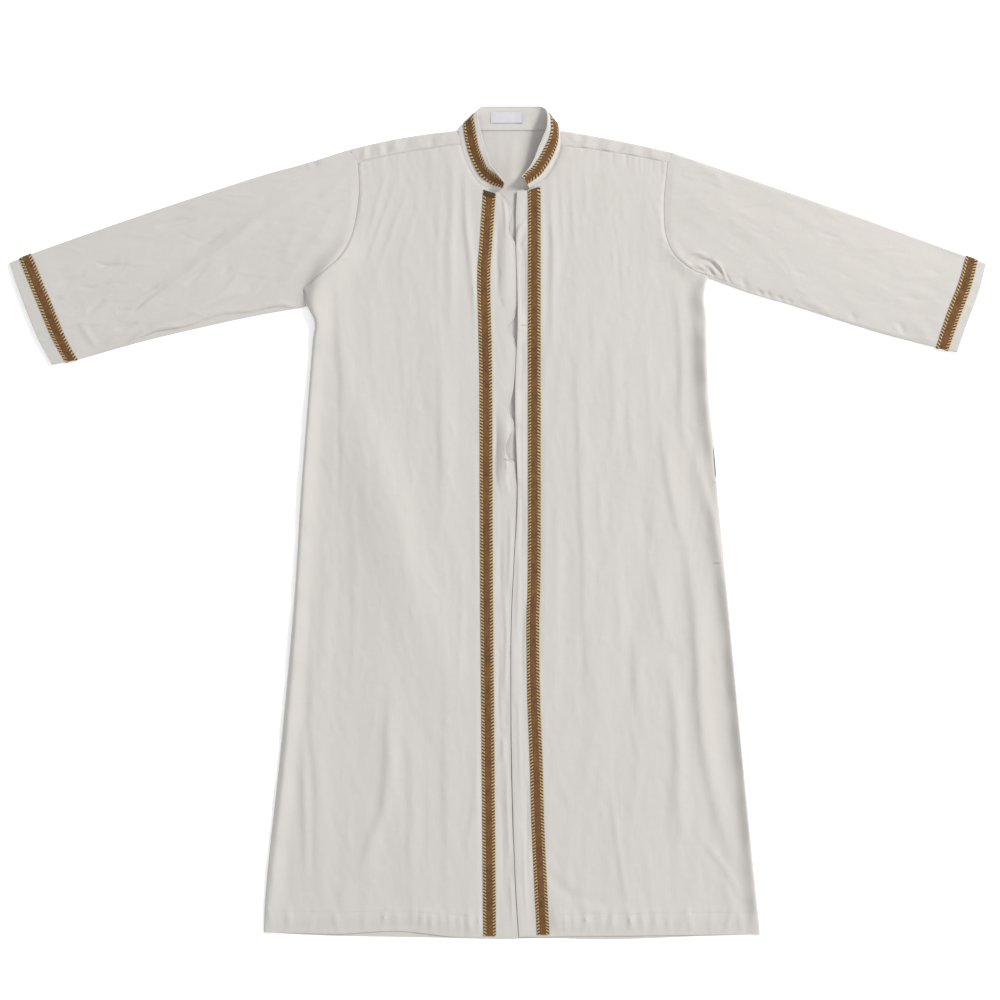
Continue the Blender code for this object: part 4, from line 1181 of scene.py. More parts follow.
def makeSleeve(half, shape, creases, seed):
    prepareSleeve(half, shape)
    far = [lengths(curve)[-1] for curve in shape["curves"]]
    heading = shape["turn"] - 90 + 8 * half.sign
    small = scatterCreases(seed, sleeve["fine"], *shape["box"], heading, 16, (0.02, 0.09), (1.8, 4.5),
                           (0.12, 0.42))
    shape["small"] = small
    rings = []
    for q in np.concatenate((sleeve["seamShares"], np.linspace(0.018, 1, sleeve["stations"]))):
        topD = q * (far[0] - sleeve["trimStart"])
        bottomD = q * (far[1] - sleeve["trimStart"])
        fromCuff = sleeve["trimStart"] + (1 - q) * (far[0] - sleeve["trimStart"])
        ease = ramp(topD, 0, 12 * mm) * (0.55 + 0.45 * ramp(topD, 0, 80 * mm))
        dip = sleeve["seamDip"] * (1 - rollIn(topD, sleeve["seamRoll"]))
        rings.append(sleeveRing(half, shape, topD, bottomD, fromCuff, creases, small, seed, ease, dip))
    for fromCuff in np.concatenate((np.linspace(68, 2, sleeve["cuffRings"]), sleeve["cuffEnds"])) * mm:
        rings.append(cuffRing(half, shape, fromCuff, creases, small, seed))
    rings = np.array(rings)
    middle = rings[-1][:, 2].mean()
    rings[-1][:, 2] = middle + (rings[-1][:, 2] - middle) * sleeve["cuffTurn"]
    return rings


rightSleeveRings = makeSleeve(right, rightSleeve, rightSleeveCreases, 37)
leftSleeveRings = makeSleeve(left, leftSleeve, leftSleeveCreases, 53)


# A sleeve's shell, whose upper side starts after both edges and the under side
def sleeveCloth(name, rings, turn, node):
    overColumn = 2 + len(sleeve["edge"]) * 2 + sleeve["under"] + 30
    shell = makeShell(name, rings, cut["shell"], True, plainUv(rings, turn), (60, overColumn))
    return dress(shell, [node])


rightSleeveCloth = sleeveCloth("rightSleeveCloth", rightSleeveRings, rightSleeve["turn"], "right_sleeve")
leftSleeveCloth = sleeveCloth("leftSleeveCloth", leftSleeveRings, leftSleeve["turn"], "left_sleeve")


# Yoke
yoke = {
    "columns": 44,              # over each shoulder
    "middle": 36,
    "front": 16,                # rows from the front seam to the fold
    "fold": 6,
    "back": 18,
    "foldReach": 3.2 * mm,
    "foldArm": 0.35,            # armhole row where the cloth turns over the shoulder
    "creaseGain": 2.5,
    "shoulderBow": {-1: 4 * mm, 1: 2 * mm},
}
# Soft bands across each shoulder, in the same form as the creases
yokeCreases = (
    (3, 4, 1.3, (-206, 590), (-208, 560)), (2.5, 3, -1.2, (-196, 592), (-198, 566)),
    (3, 3, 1.2, (-184, 594), (-180, 568)), (3, 3, -1.1, (-170, 596), (-172, 572)),
    (4, 4, 1.2, (-156, 600), (-160, 576)), (3, 4, -0.8, (-140, 602), (-142, 578)),
    (4, 5, 0.8, (-122, 604), (-120, 580)), (3, 4, -0.6, (-100, 606), (-104, 584)),
    (4, 4, 0.6, (-84, 606), (-86, 586)), (4, 4, 0.8, (112, 606), (122, 588)),
    (4, 5, -0.8, (126, 606), (134, 584)), (5, 5, 1.2, (146, 602), (132, 580)),
    (4, 4, -0.9, (162, 600), (150, 578)), (5, 5, 1.2, (184, 598), (166, 574)),
    (4, 4, -1.1, (200, 594), (184, 572)), (4, 4, 1.0, (216, 592), (206, 568)),
    (3, 3, -1.0, (228, 588), (222, 566)), (3, 3, 0.9, (242, 586), (238, 564)),
)
# Soft folds of its back layer, seen inside the neck
neckFolds = (
    (9, 7, 1.9, (27, 612), (22, 560), (25, 508)), (7, 8, 1.3, (-12, 612), (-22, 588), (-14, 536)),
    (5, 6, 1.1, (52, 606), (46, 570), (40, 530)), (4, 5, 0.8, (6, 600), (2, 578), (8, 550)),
)


# One shoulder seen from above: rows of points from the front seam over the fold to the back seam, each with
# its kind and place in it, and the share of the way from the armhole to the neck
def yokePlaces(half, section):
    sign = half.sign
    shoulder = np.array((collarPoints[section, 0] + sign * cut["gap"], cut["shoulderY"] * mm))
    neckFront = half.neck[0] + (0, cut["gap"])
    armTop = half.bodyArmhole(0)[0]
    armFront = half.bodyArmhole(cut["yokeFrontRow"])[0] + (0, cut["gap"])
    clear = np.array((-2 * sign * cut["gap"], 0))
    part = np.linspace(0, 1, yoke["columns"])[:, None]
    bow = 4 * part * (1 - part)
    up = np.array([[0, 1]])
    frontLine = armFront + (neckFront - armFront) * part + up * cut["yokeBow"] * bow
    foldLine = armTop + clear + (shoulder - armTop - clear) * part + up * yoke["shoulderBow"][sign] * bow
    rows = []
    way = unit(frontLine - foldLine)
    reach = yoke["foldReach"]
    near = foldLine + way * reach
    for q in np.linspace(0, 1, yoke["front"]):
        # the armhole edge is curved, so the first column follows it
        flat = frontLine + (near - frontLine) * q
        armRow = cut["yokeFrontRow"] * (1 - q) + q * yoke["foldArm"]
        flat[0] = half.bodyArmhole(armRow)[0] + (clear if q > 0.99 else 0)
        rows.append((flat, "front", q))
    for a in np.linspace(0, np.pi, yoke["fold"] + 2)[1:-1]:
        rows.append((foldLine + way * reach * (1 - np.sin(a)), "fold", a))
    for q in np.linspace(0, 1, yoke["back"]):
        armRow = yoke["foldArm"] + (cut["yokeBackRow"] - yoke["foldArm"]) * q
        level = near[:, 1] + (half.bodyArmhole(cut["yokeBackRow"])[0, 1] - near[:, 1]) * q
        arm = half.bodyArmhole(armRow)[0]
        x = arm[0] + (shoulder[0] - arm[0]) * part[:, 0]
        y = arm[1] + (level - arm[1]) * np.minimum(1, part[:, 0] * 6)
        blend = ramp(q, 0, 0.25)
        flat = np.column_stack((near[:, 0] * (1 - blend) + x * blend, level * (1 - blend) + y * blend))
        rows.append((flat, "back", q))
    return rows, part


def yokeSide(half, section):
    rows, part = yokePlaces(half, section)
    made = []
    for flat, kind, q in rows:
        x, y = flat[:, 0], flat[:, 1]
        top = stack + neckLift(x, y)
        ease = ramp(part[:, 0], 0, 0.06) * ramp(1 - part[:, 0], 0, 0.06)
        if kind == "front":
            relief = yoke["creaseGain"] * creaseHeight(yokeCreases, x, y) * ease * ramp(q, 0, 0.12)
            rough = 0.7 * unevenness(93, x, y, (9, 15)) + 0.35 * unevenness(94, x, y, (4, 7))
            relief += rough * mm * ease * ramp(q, 0, 0.2)
            z = top + relief * (1 - 0.5 * q) + 0.5 * mm * np.sin(np.pi * q) - 0.4 * mm * (q < 0.02)
            # the armhole edge tucks in under the sleeve
            z[0] -= 0.5 * mm
            x = x.copy()
            x[0] += half.sign * 1.6 * mm * (q < 0.9)
        elif kind == "fold":
            relief = yoke["creaseGain"] * creaseHeight(yokeCreases, x, y) * ease * 0.4
            z = (top + relief) * (0.5 + 0.5 * np.cos(q))
        else:
            z = 0.5 * mm * np.sin(np.pi * q) * (0.5 + 0.5 * unevenness(91, x, y, (40, 40))) * ease
        made.append(np.column_stack((x, y, z)))
    return np.array(made)


# Rows of both shoulders joined behind the neck by a middle part
def yokeRows(sides):
    backStart = yoke["front"] + yoke["fold"]
    share = np.linspace(0, 1, yoke["middle"] + 2)[1:-1]
    rows = []
    for r in range(len(sides[0])):
        line = [sides[0][r]]
        if r >= backStart:
            a, b = sides[0][r, -1], sides[1][r, 0]
            link = a + (b - a) * share[:, None]
            if r == backStart:
                link[:, 1] = cut["backNeckY"] * mm
            link[:, 2] += 0.7 * mm * ramp(backStart + 3 - r, 0, 3)
            folds = creaseHeight(neckFolds, link[:, 0], link[:, 1])
            folds = folds * ramp(np.minimum(share, 1 - share), 0, 0.15)
            link[:, 2] += folds * ramp(r - backStart, 0, 2)
            line.append(link)
        line.append(sides[1][r])
        rows.append(line)
    return rows


def makeYoke():
    sides = [yokeSide(right, 8), yokeSide(left, 22)[:, ::-1]]
    points, faces, number = [], [], {}
    for r, line in enumerate(yokeRows(sides)):
        column = 0
        for k, part in enumerate(line):
            if len(line) == 2 and k == 1:
                column = yoke["columns"] + yoke["middle"]
            for point in part:
                number[r, column] = len(points)
                points.append(point)
                column += 1
    for r, c in number:
        corners = [(r, c), (r, c + 1), (r + 1, c + 1), (r + 1, c)]
        if all(corner in number for corner in corners):
            faces.append([number[corner] for corner in corners])
    points, faces = np.array(points), np.array(faces)
    faces = turnedUp(faces, *points[faces[0, :3]])
    piece = addPiece("yokeCloth", points, faces, plainUv(points), ["cloth"])
    giveWall(piece, cut["shell"])
    piece.data.set_sharp_from_angle(angle=np.radians(sharp["cloth"]))
    return piece, sides


yokeCloth, yokeGrids = makeYoke()
dress(yokeCloth, ["yoke"])


# Plackets
# Free edge of the left placket as y, x, the plackets' top edges as x, y, and how far the wavy right one falls
# short of the left one as y, gap, all in mm
leftPlacketEdge = ((516, 30), (470, 28), (408, 29), (315, 31), (191, 27), (46, 31), (-57, 26), (-181, 21),
                   (-369, 22), (-538, 27), (-641, 33))
rightPlacketTop = ((-12, 516), (-3, 513), (5, 511.5))
leftPlacketTop = ((30, 514.5), (45, 514.5), (56, 521))
placketGap = ((512, 25), (500, 15), (482, 6), (456, 11), (438, 3), (424, 0.8), (330, 0.8), (304, 14),
              (284, 3), (262, 0.8), (214, 2), (175, 9), (152, 2.5), (116, 17), (90, 6), (70, 1), (-643, 1))
placket = {
    "pitch": 3.1 * mm,          # between rows
    "columns": 26,
    "creaseGain": 1.3,
    "flat": 10 * mm,            # beside the seam, under the braid
    "flatFade": {-1: 8 * mm, 1: 7 * mm},
    "deepest": 1.3 * mm,
    "leftLift": 1.1 * mm,       # the left one's free edge lies on the right one's
    "leastGap": 0.8 * mm,
    "edgeRoll": 1.2 * mm,
    "edgeDip": 0.6 * mm,
    "topstitch": 2.5 * mm,
    "stitchDip": 0.22 * mm,
    "stitchWide": 0.7 * mm,
}
rightPlacketCreases = (
    (9, 12, 2.1, (13, 500), (13, 455), (14, 415), (14, 370), (12, 328)),
    (3, 4, -1.2, (0, 470), (-1, 420), (1, 350)),
    (3, 3, -1.0, (3, 348), (5, 342), (8, 337)), (2.5, 2.5, -0.8, (0, 392), (2, 386), (4, 382)),
    (2.5, 4, 1.4, (8, 505), (12, 480), (13, 440)), (2.5, 2.5, -0.7, (14, 500), (18, 470), (19, 440)),
    (11, 4.5, 5.8, (15, 180), (13.5, 140), (13, 100), (14, 66), (18, 36)),
    (3.5, 3, -1.2, (-4, 170), (-2, 130), (-4, 85), (4, 40)),
    (2, 2, 1.2, (20, 150), (16, 132), (22, 118)), (2, 2, -1.1, (18, 128), (15, 112), (21, 98)),
    (2, 2.5, 1.4, (21, 104), (15, 90), (20, 74)), (2, 2, -1.0, (20, 82), (17, 66), (23, 52)),
    (3, 5, 1.4, (19, 20), (20, -40), (17, -100)), (4, 4, -0.9, (6, 10), (4, -60), (5, -130)),
    (3, 4, 1.2, (12, -110), (14, -190), (11, -260)), (4, 3, -0.9, (3, -190), (1, -270), (4, -340)),
    (4, 4, 1.5, (8, -332), (10, -350), (8, -370)), (3, 4, 1.1, (14, -370), (16, -450), (18, -520)),
    (4, 4, -0.8, (6, -420), (8, -500), (8, -580)), (3, 3, 0.9, (20, -540), (22, -590), (25, -632)),
)
leftPlacketCreases = (
    (2, 9, -2.6, (38, 434), (37, 380), (38, 308)),
    (5, 7, 3.4, (30, 338), (32, 306), (30, 272)), (5, 7, 3.0, (29, 206), (28, 176), (28, 150)),
    (6, 7, 3.2, (28, 146), (28, 112), (28, 60)),
    (3.5, 4, 2.6, (47, 466), (33, 453), (29, 431)), (3, 3, -1.6, (46, 446), (36, 436), (34, 420)),
    (3, 3, 0.9, (42, 380), (40, 330), (43, 290)), (3, 3, -0.7, (36, 300), (38, 250), (36, 200)),
    (3, 3, 0.8, (42, 190), (40, 120), (43, 60)), (3, 3, -0.8, (37, 70), (38, 0), (35, -60)),
    (3, 4, 1.0, (34, -30), (32, -110), (30, -190)), (3, 3, -0.8, (42, -120), (38, -200), (40, -280)),
    (3, 3, 0.8, (32, -260), (34, -340), (36, -420)), (4, 4, -0.8, (44, -380), (46, -460), (46, -540)),
    (3, 3, 0.8, (40, -470), (42, -550), (46, -620)),
)


def leftFreeEdge(y):
    return xAt(leftPlacketEdge, y)


def rightFreeEdge(y):
    return leftFreeEdge(y) - np.maximum(xAt(placketGap, y), placket["leastGap"])


def makePlacket(half, freeEdge, top, creases, seed):
    sign = half.sign
    start, end = half.levels[0], half.levels[-1]
    rows = int((start - end) / placket["pitch"])
    level = np.concatenate(([start, start - 0.3 * mm], np.linspace(start, end, rows)[1:-1],
                            [end + 1.2 * mm, end + 0.4 * mm, end]))
    seam = half.centre(level) - sign * cut["gap"] / 2
    free = freeEdge(level)
    width = np.abs(free - seam)[:, None]
    share = np.linspace(0, 1, placket["columns"])[None, :]
    edge = np.array((1.6, 0.9, 0.35, 0)) * mm
    fromSeam = np.hstack(((width - 2.6 * mm) * share, width - edge[None]))
    x = seam[:, None] - sign * fromSeam
    y = np.repeat(level[:, None], x.shape[1], 1)
    topLine = np.array(top, float).T * mm
    y = y + (np.interp(x, topLine[0], topLine[1]) - start) * ramp(y, start - 40 * mm, start)
    fromFree = width - fromSeam
    base = half.stripHeight(y)
    relief = placket["creaseGain"] * creaseHeight(creases, x, y)
    relief += unevenLayers(((0.6, (17, 60), 0), (0.32, (7, 26), 0), (0.14, (4, 9), 20)), seed, x, y)
    beyond = ramp(fromSeam, placket["flat"], placket["flat"] + placket["flatFade"][sign])
    if sign > 0:
        relief += placket["leftLift"] * ramp(fromSeam, placket["flat"], width)
    relief *= beyond * (0.3 + 0.7 * ramp(level[:, None] - end, 0, 40 * mm))
    relief *= ramp(start - level[:, None], 0, 12 * mm)
    z = base + np.maximum(relief, -placket["deepest"])
    z = z - placket["edgeDip"] * (1 - rollIn(fromFree, placket["edgeRoll"]))
    groove = hump(fromFree - placket["topstitch"], placket["stitchWide"])
    z = z - placket["stitchDip"] * groove * beyond
    z = z - 0.4 * mm * (1 - ramp(level[:, None] - end, 0, 1.6 * mm))
    return np.stack((x, y, z), axis=-1)


rightPlacketGrid = makePlacket(right, rightFreeEdge, rightPlacketTop, rightPlacketCreases, 61)
leftPlacketGrid = makePlacket(left, leftFreeEdge, leftPlacketTop, leftPlacketCreases, 67)
rightPlacketCloth = dress(makeShell("rightPlacketCloth", rightPlacketGrid, cut["shell"]), ["right_placket"])
leftPlacketCloth = dress(makeShell("leftPlacketCloth", leftPlacketGrid, cut["shell"]), ["left_placket"])


# Collar
collar = {
    "rows": 260,                # round the neck
    "wall": 1.6 * mm,
    "strip": 8.5 * mm,          # plain band between the neck seam and the braid
    # points up from the neck seam and down from the free edge, mm
    "up": (0.1, 0.35, 0.8, 1.4, 2.2, 3.4, 5, 6.5, 8, 9.5, 11.5, 14, 17, 20, 23, 25.5),
    "down": (3.2, 2.2, 1.4, 0.8, 0.35, 0.1),
    "topStrip": 4.2 * mm,       # the first end where the last begin
    "edgeRoll": 0.8 * mm,
    "stitchIn": (1.9 * mm, 2.2 * mm),   # both rows of stitches, from the neck seam and the free edge
    "stitchDip": 0.16 * mm,
    "stitchWide": 0.6 * mm,
    # section, then the share of its lean that it has there at the neck seam and at the free edge
    "tilt": ((0, 0.1, 1.2), (2, 0.1, 0.8), (4, 0.1, -0.1), (8, 0.1, -0.4), (12, 0.2, -0.1), (17, 0.3, 0.4),
             (20, 1.3, 0.3), (25, 1.3, 0.3), (27, 0.5, 0.3), (29, 0.3, 0.5)),
    "overrun": 0.2,             # how much of what reaches past the free edge is kept
    "pull": (1.15, 0.75),       # how strongly each end's tilt shapes the section
    "trim": ((0, 0), (23, 0), (24, 1), (25, 3), (26, 5.5), (27, 6), (28, 3.5), (29, 0.5)),   # section, mm
}


# The collar's sections: points from the neck seam to the free edge, the run along them and the cloth's height
def collarAt(section):
    both = curveAt(collarPoints, section)
    seam, edge = both[:, :3], both[:, 3:]
    rise = edge - seam
    flat = np.hypot(rise[:, 0], rise[:, 1])
    lean = np.arctan2(rise[:, 2], flat)
    chord = np.linalg.norm(rise, axis=1)

    tiltAt, startTilt, endTilt = np.array(collar["tilt"]).T

    def pullAt(shares, strength):
        tilt = np.interp(section, tiltAt, shares)
        level = (np.cos(lean * tilt) / flat * chord * strength)[:, None] * rise * (1, 1, 0)
        level[:, 2] = np.sin(lean * tilt) * chord * strength
        return level[:, None]

    t = np.linspace(0, 1, 49)[None, :, None]
    start = pullAt(startTilt, collar["pull"][0])
    end = pullAt(endTilt, collar["pull"][1])
    curve = ((2 * t**3 - 3 * t**2 + 1) * seam[:, None] + (t**3 - 2 * t**2 + t) * start
             + (3 * t**2 - 2 * t**3) * edge[:, None] + (t**3 - t**2) * end)
    run = np.cumsum(np.linalg.norm(np.diff(curve, axis=1), axis=2), axis=1)
    run = np.hstack((np.zeros((len(run), 1)), run))
    trim = np.array(collar["trim"], float).T
    return curve, run, run[:, -1] - np.interp(section, trim[0], trim[1]) * mm


# Points of one section. What reaches past the free edge is drawn in towards it.
def pointsOn(curve, run, distances):
    beyond = collar["overrun"] * np.maximum(distances - run[-1], 0)[:, None]
    return readAt(distances, run, curve) + beyond * unit(curve[-1] - curve[-2])


# Points and outward directions of the collar at distances from the neck seam, one row a section
def collarNet(section, distances):
    curve, run = collarAt(section)[:2]
    net = np.array([pointsOn(c, r, d) for c, r, d in zip(curve, run, distances)])
    upward = np.gradient(net, axis=1) / np.maximum(np.gradient(distances, axis=1), 1e-6)[:, :, None]
    return net, unit(np.cross(upward, np.gradient(net, axis=0)))


# Section numbers that are evenly spaced along the collar's middle
def collarSpread(count):
    fine = np.linspace(0, len(collarPoints) - 1, 2000)
    middle = lengths(collarAt(fine)[0][:, 24])
    return np.interp(np.linspace(0, middle[-1], count), middle, fine)


# A solid from closed rings of points, with flat ends. Outwards is checked on the ring and point named.
def makeRod(name, rings, uv, look, check):
    count, size = rings.shape[:2]
    faces = gridFaces(count, size, True)
    row, column = check
    three = rings[row, column], rings[row, column + 1], rings[row + 1, column]
    turned = looksIn(*three, rings[row].mean(axis=0))
    faces = [face[::-1] if turned else face for face in faces.tolist()]
    first = list(range(size))
    last = list(range((count - 1) * size, count * size))
    faces += [first if turned else first[::-1], last[::-1] if turned else last]
    piece = addPiece(name, rings.reshape(-1, 3), faces, uv, [look])
    piece.data.set_sharp_from_angle(angle=np.radians(sharp["cloth"]))
    return piece


def makeCollar():
    section = collarSpread(collar["rows"])
    high = collarAt(section)[2][:, None]
    # distances from the neck seam, up the outer side and down the inner one
    low = np.array(collar["up"]) * mm
    low = np.minimum(np.repeat(low[None], len(high), 0), high - collar["topStrip"])
    top = high - np.array(collar["down"]) * mm
    outer = np.hstack((low, top))
    at = np.hstack((outer, high, outer[:, ::-1], 0 * high))
    half = collar["wall"] / 2
    edge = np.minimum(at, high - at)
    bulge = rollIn(edge, collar["edgeRoll"])
    side = np.ones(at.shape)
    side[:, outer.shape[1]:] = -1
    across = side * half * bulge - half
    fromSeam, fromEdge = collar["stitchIn"]
    for place in (fromSeam, high - fromEdge):
        across = across - side * collar["stitchDip"] * hump(at - place, collar["stitchWide"])
    spread = np.linspace(0, 1, 60)[None] * high
    net, out = collarNet(section, spread)
    grid = np.array([readAt(d, where, n) + readAt(d, where, o) * a[:, None]
                     for d, where, n, o, a in zip(at, spread, net, out, across)])
    wave = 0.18 * mm * unevenness(81, grid[..., 0], grid[..., 1] + grid[..., 2], (17, 17))
    wave += 0.12 * mm * unevenness(82, grid[..., 0], grid[..., 1], (6, 8))
    grid[..., 2] += wave * ramp(edge, 0, 3 * mm)
    run = lengths(net[:, 30])
    uv = np.stack((np.repeat(run[:, None], at.shape[1], 1), at), axis=-1)
    return makeRod("collarCloth", grid, uv, "collar", (5, 8))


collarCloth = dress(makeCollar(), ["collar"])


# Blank label inside the collar
label = {
    "width": 51 * mm,
    "height": 17 * mm,
    "thickness": 0.5 * mm,
    "centre": (15 * mm, 628 * mm),
    "curl": 2.6 * mm,           # its right end stands up
    "belly": 0.5 * mm,
    "endDip": 0.25 * mm,        # where its ends are sewn down
    "columns": 44,
    "rows": 12,
}


def labelGrid():
    middle = len(collarPoints) // 2
    seam, edge = collarPoints[middle, :3], collarPoints[middle, 3:]
    rise = edge - seam
    across = np.linspace(-0.5, 0.5, label["columns"])[None, :]
    upward = np.linspace(-0.5, 0.5, label["rows"])[:, None]
    way = rise[1:] / np.linalg.norm(rise[1:])
    x = label["centre"][0] + label["width"] * across + 0 * upward
    y = label["centre"][1] + label["height"] * upward * way[0] + 0 * across
    onOuter = seam[2] + (y - seam[1]) * rise[2] / rise[1]
    clear = (collar["wall"] + cut["gap"] + label["thickness"]) / way[0]
    curl = label["curl"] * np.maximum(0, across * 2 - 0.45)**1.7 * 2
    belly = label["belly"] * np.sin(np.pi * (across + 0.5)) * (0.6 + 0.8 * (upward + 0.5))
    end = label["endDip"] * hump(np.abs(across) - 0.44, 0.03)
    return np.stack((x, y, onOuter + clear + curl + belly - end), axis=-1)


neckLabelGrid = labelGrid()
neckLabel = makeShell("neckLabel", neckLabelGrid, label["thickness"], look="label")
dress(neckLabel, ["neck_label"])


# Braid
diamond = np.array(((1, 0), (0, 1), (-1, 0), (0, -1)))      # section of a ply


# Closed tubes of points gathered into one mesh
class Tubes:
    def __init__(self):
        self.points, self.faces, self.looks, self.uvs = [], [], [], []
        self.used = 0

    def add(self, net, look, uvAcross, uvAlong, closed=False):
        rings, count = net.shape[:2]
        quads = gridFaces(rings, count, True, closed)
        ends = [] if closed else [np.arange(count)[::-1], np.arange((rings - 1) * count, rings * count)]
        if looksIn(net[0, 0], net[0, 1], net[1, 0], net[0].mean(axis=0)):
            quads = quads[:, ::-1]
            ends = [end[::-1] for end in ends]
        self.points.append(net.reshape(-1, 3))
        self.faces.extend((quads + self.used).tolist())
        self.faces.extend((end + self.used).tolist() for end in ends)
        self.looks.extend([look] * (len(quads) + len(ends)))
        self.uvs.append(np.column_stack((np.tile(uvAcross, rings), np.repeat(uvAlong, count))))
        self.used += rings * count


# The cloth under a braid: rows of points across it and their ways up, spread evenly along it
class Course:
    def __init__(self, under, up, closed):
        run = lengths(under[:, under.shape[1] // 2])
        self.total = run[-1]
        self.turnCount = int(round(self.total / braid["lead"]))
        self.s = np.linspace(0, self.total, self.turnCount * braid["ringsPerTurn"] + 1)
        if closed:
            self.s = self.s[:-1]
        self.under = self.spread(run, under)
        self.up = unit(self.spread(run, up))

    def spread(self, run, values):
        return readAt(self.s, run, values.reshape(len(values), -1)).reshape(len(self.s), -1, 3)

    # The place of each point of a profile, across and up in metres, at the rows named
    def onCloth(self, which, profile):
        last = self.under.shape[1] - 1
        at = (profile[..., 0] / braid["reach"] + 1) / 2 * last
        first = np.clip(at.astype(int), 0, last - 1)
        part = (at - first)[..., None]
        row = np.asarray(which)[:, None]
        place = self.under[row, first] * (1 - part) + self.under[row, first + 1] * part
        way = self.up[row, first] * (1 - part) + self.up[row, first + 1] * part
        return place + way * profile[..., 1:]

    # A tube of one profile along the rows named
    def addFlat(self, tubes, rows, profile, look, closed=False):
        net = self.onCloth(rows, np.repeat(profile[None], len(rows), 0))
        tubes.add(net, look, profile[:, 0], self.s[rows], closed)


# The twisted plies of both cords
def addPlies(tubes, course, turns, closed):
    s, total = course.s, course.total
    wobble = 1 + 0.05 * np.sin(s / (17 * mm)) + 0.04 * np.sin(s / (7.3 * mm) + 1)
    slip = 0.5 * np.sin(np.round(total / (31 * mm)) * 2 * np.pi * s / total)
    out, lift = braid["plyOut"]
    for edge, turn in zip((-1, 1), turns):
        middle = edge * (braid["width"] - braid["cord"]) / 2
        for ply in range(braid["plies"]):
            angle = turn * 2 * np.pi * s / total * course.turnCount + ply * np.pi / 2 + slip
            cx = middle + out * np.cos(angle) * wobble
            cz = braid["cordUp"] + lift * np.sin(angle)
            net = np.stack((cx, cz), axis=-1)[:, None] + diamond * braid["plyHalf"]
            tubes.add(course.onCloth(np.arange(len(s)), net), 1 + ply // 2,
                      diamond[:, 0] * braid["plyHalf"][0], s, closed)


# A thread wound across each end
def addBinding(tubes, course):
    ply = braid["plyHalf"]
    for row in (0, len(course.s) - 1):
        reach = np.linspace(-1, 1, 9) * (braid["width"] / 2 - 0.2 * mm)
        middle = course.onCloth([row], np.stack((reach, 0 * reach + braid["centre"]), axis=-1)[None])[0]
        ahead = unit(course.under[row, 2] - course.under[abs(row - 1), 2]) * ply[1] * 1.3
        over = course.up[row, 2] * ply[1] * 1.6
        net = middle[:, None] + diamond[None, :, :1] * ahead + diamond[None, :, 1:] * over
        tubes.add(net, 1, diamond[:, 0] * ply[0], reach)


# Band and two cords of braid on the cloth under it
def makeBraid(name, under, up, node, turns, closed=False, bound=False, foldOrPaintedShade=0.0):
    course, tubes = Course(under, up, closed), Tubes()
    inner = braid["width"] / 2 - braid["cord"] + 0.9 * mm
    top = braid["centre"]
    band = np.array(((-inner, 0.1 * mm), (-inner, top * 0.8), (-inner * 0.8, top), (-inner * 0.4, top * 1.04),
                     (0, top), (inner * 0.4, top * 1.04), (inner * 0.8, top), (inner, top * 0.8),
                     (inner, 0.1 * mm), (inner * 0.4, 0.05 * mm), (-inner * 0.4, 0.05 * mm)))
    every = np.arange(len(course.s))
    sparse = every[::braid["bandEvery"]]
    if not closed and sparse[-1] != every[-1]:
        sparse = np.append(sparse, every[-1])
    course.addFlat(tubes, sparse, band, 0, closed)
    addPlies(tubes, course, turns, closed)
    # painted shade: a patch of dark thread laid over its end, where the collar's shadow falls
    if foldOrPaintedShade:
        half = braid["width"] / 2 - 1.5 * mm
        paintedShadePatch = np.array(((-half, 1.3 * mm), (-half, 1.8 * mm), (-half / 2, 2.0 * mm), (half / 2, 2.0 * mm),
                         (half, 1.8 * mm), (half, 1.3 * mm), (half / 2, 1.15 * mm), (-half / 2, 1.15 * mm)))
        course.addFlat(tubes, every[course.s <= foldOrPaintedShade], paintedShadePatch, 2)
    if bound:
        addBinding(tubes, course)
    piece = addPiece(name, np.vstack(tubes.points), tubes.faces, np.vstack(tubes.uvs),
                     ["band", "gold", "dark"], tubes.looks)
    piece.data.set_sharp_from_angle(angle=np.radians(sharp["braid"]))
    return dress(piece, [node])


braidAcross = np.linspace(-1, 1, 5) * braid["reach"]


def frontBraid(name, half, node, turns, foldOrPaintedShade=0.0):
    start = half.levels[0] - braid["short"]
    end = half.levels[-1] + braid["short"]
    y = np.linspace(start, end, 900)[:, None]
    lean = half.sign * braid["topLean"] * (1 - ramp(start - y, 0, 22 * mm))
    x = half.centre(y.ravel())[:, None] + braidAcross
    level = y + braidAcross * lean
    under = np.stack((x, level, half.stripHeight(level) + 0.15 * mm), axis=-1)
    up = unit(np.cross(np.gradient(under, axis=0), (1.0, 0, 0)))
    return makeBraid(name, under, up * np.sign(up[..., 2:]), node, turns, foldOrPaintedShade=foldOrPaintedShade)


# The right front braid's top end gets a dark patch of painted shade, where the collar's shadow falls
rightFrontBraid = frontBraid("rightFrontBraid", right, "right_front_braid", (-1, 1), braid["paintedShadeEnd"])
leftFrontBraid = frontBraid("leftFrontBraid", left, "left_front_braid", (1, -1))

collarMiddle = collar["strip"] + braid["width"] / 2
collarUnder, collarOut = collarNet(collarSpread(900), np.repeat(collarMiddle + braidAcross[None], 900, 0))
collarUnder = collarUnder + collarOut * 0.1 * mm
collarBraid = makeBraid("collarBraid", collarUnder, collarOut, "collar_braid", (1, -1), bound=True)


# The braid right round a sleeve, from the sleeve's own rings
def cuffBraid(name, half, shape, creases, seed, node):
    fromCuff, slant = shape["braid"]
    loops = []
    for offset in braidAcross:
        ring = cuffRing(half, shape, fromCuff - offset, creases, shape["small"], seed, slant)
        ring = np.vstack((ring, ring[:1]))
        run = lengths(ring)
        loops.append(along(ring, np.linspace(0, run[-1], 1201)))
    under = np.array(loops).transpose(1, 0, 2)
    step = np.roll(under[:-1], -1, 0) - np.roll(under[:-1], 1, 0)
    up = unit(np.cross(step, np.gradient(under[:-1], axis=1)))
    if (up * (under[:-1] - under[:-1].mean(axis=(0, 1))))[..., 2].mean() < 0:
        up = -up
    up = np.concatenate((up, up[:1]))
    return makeBraid(name, under + up * 0.15 * mm, up, node, (1, -1), closed=True)


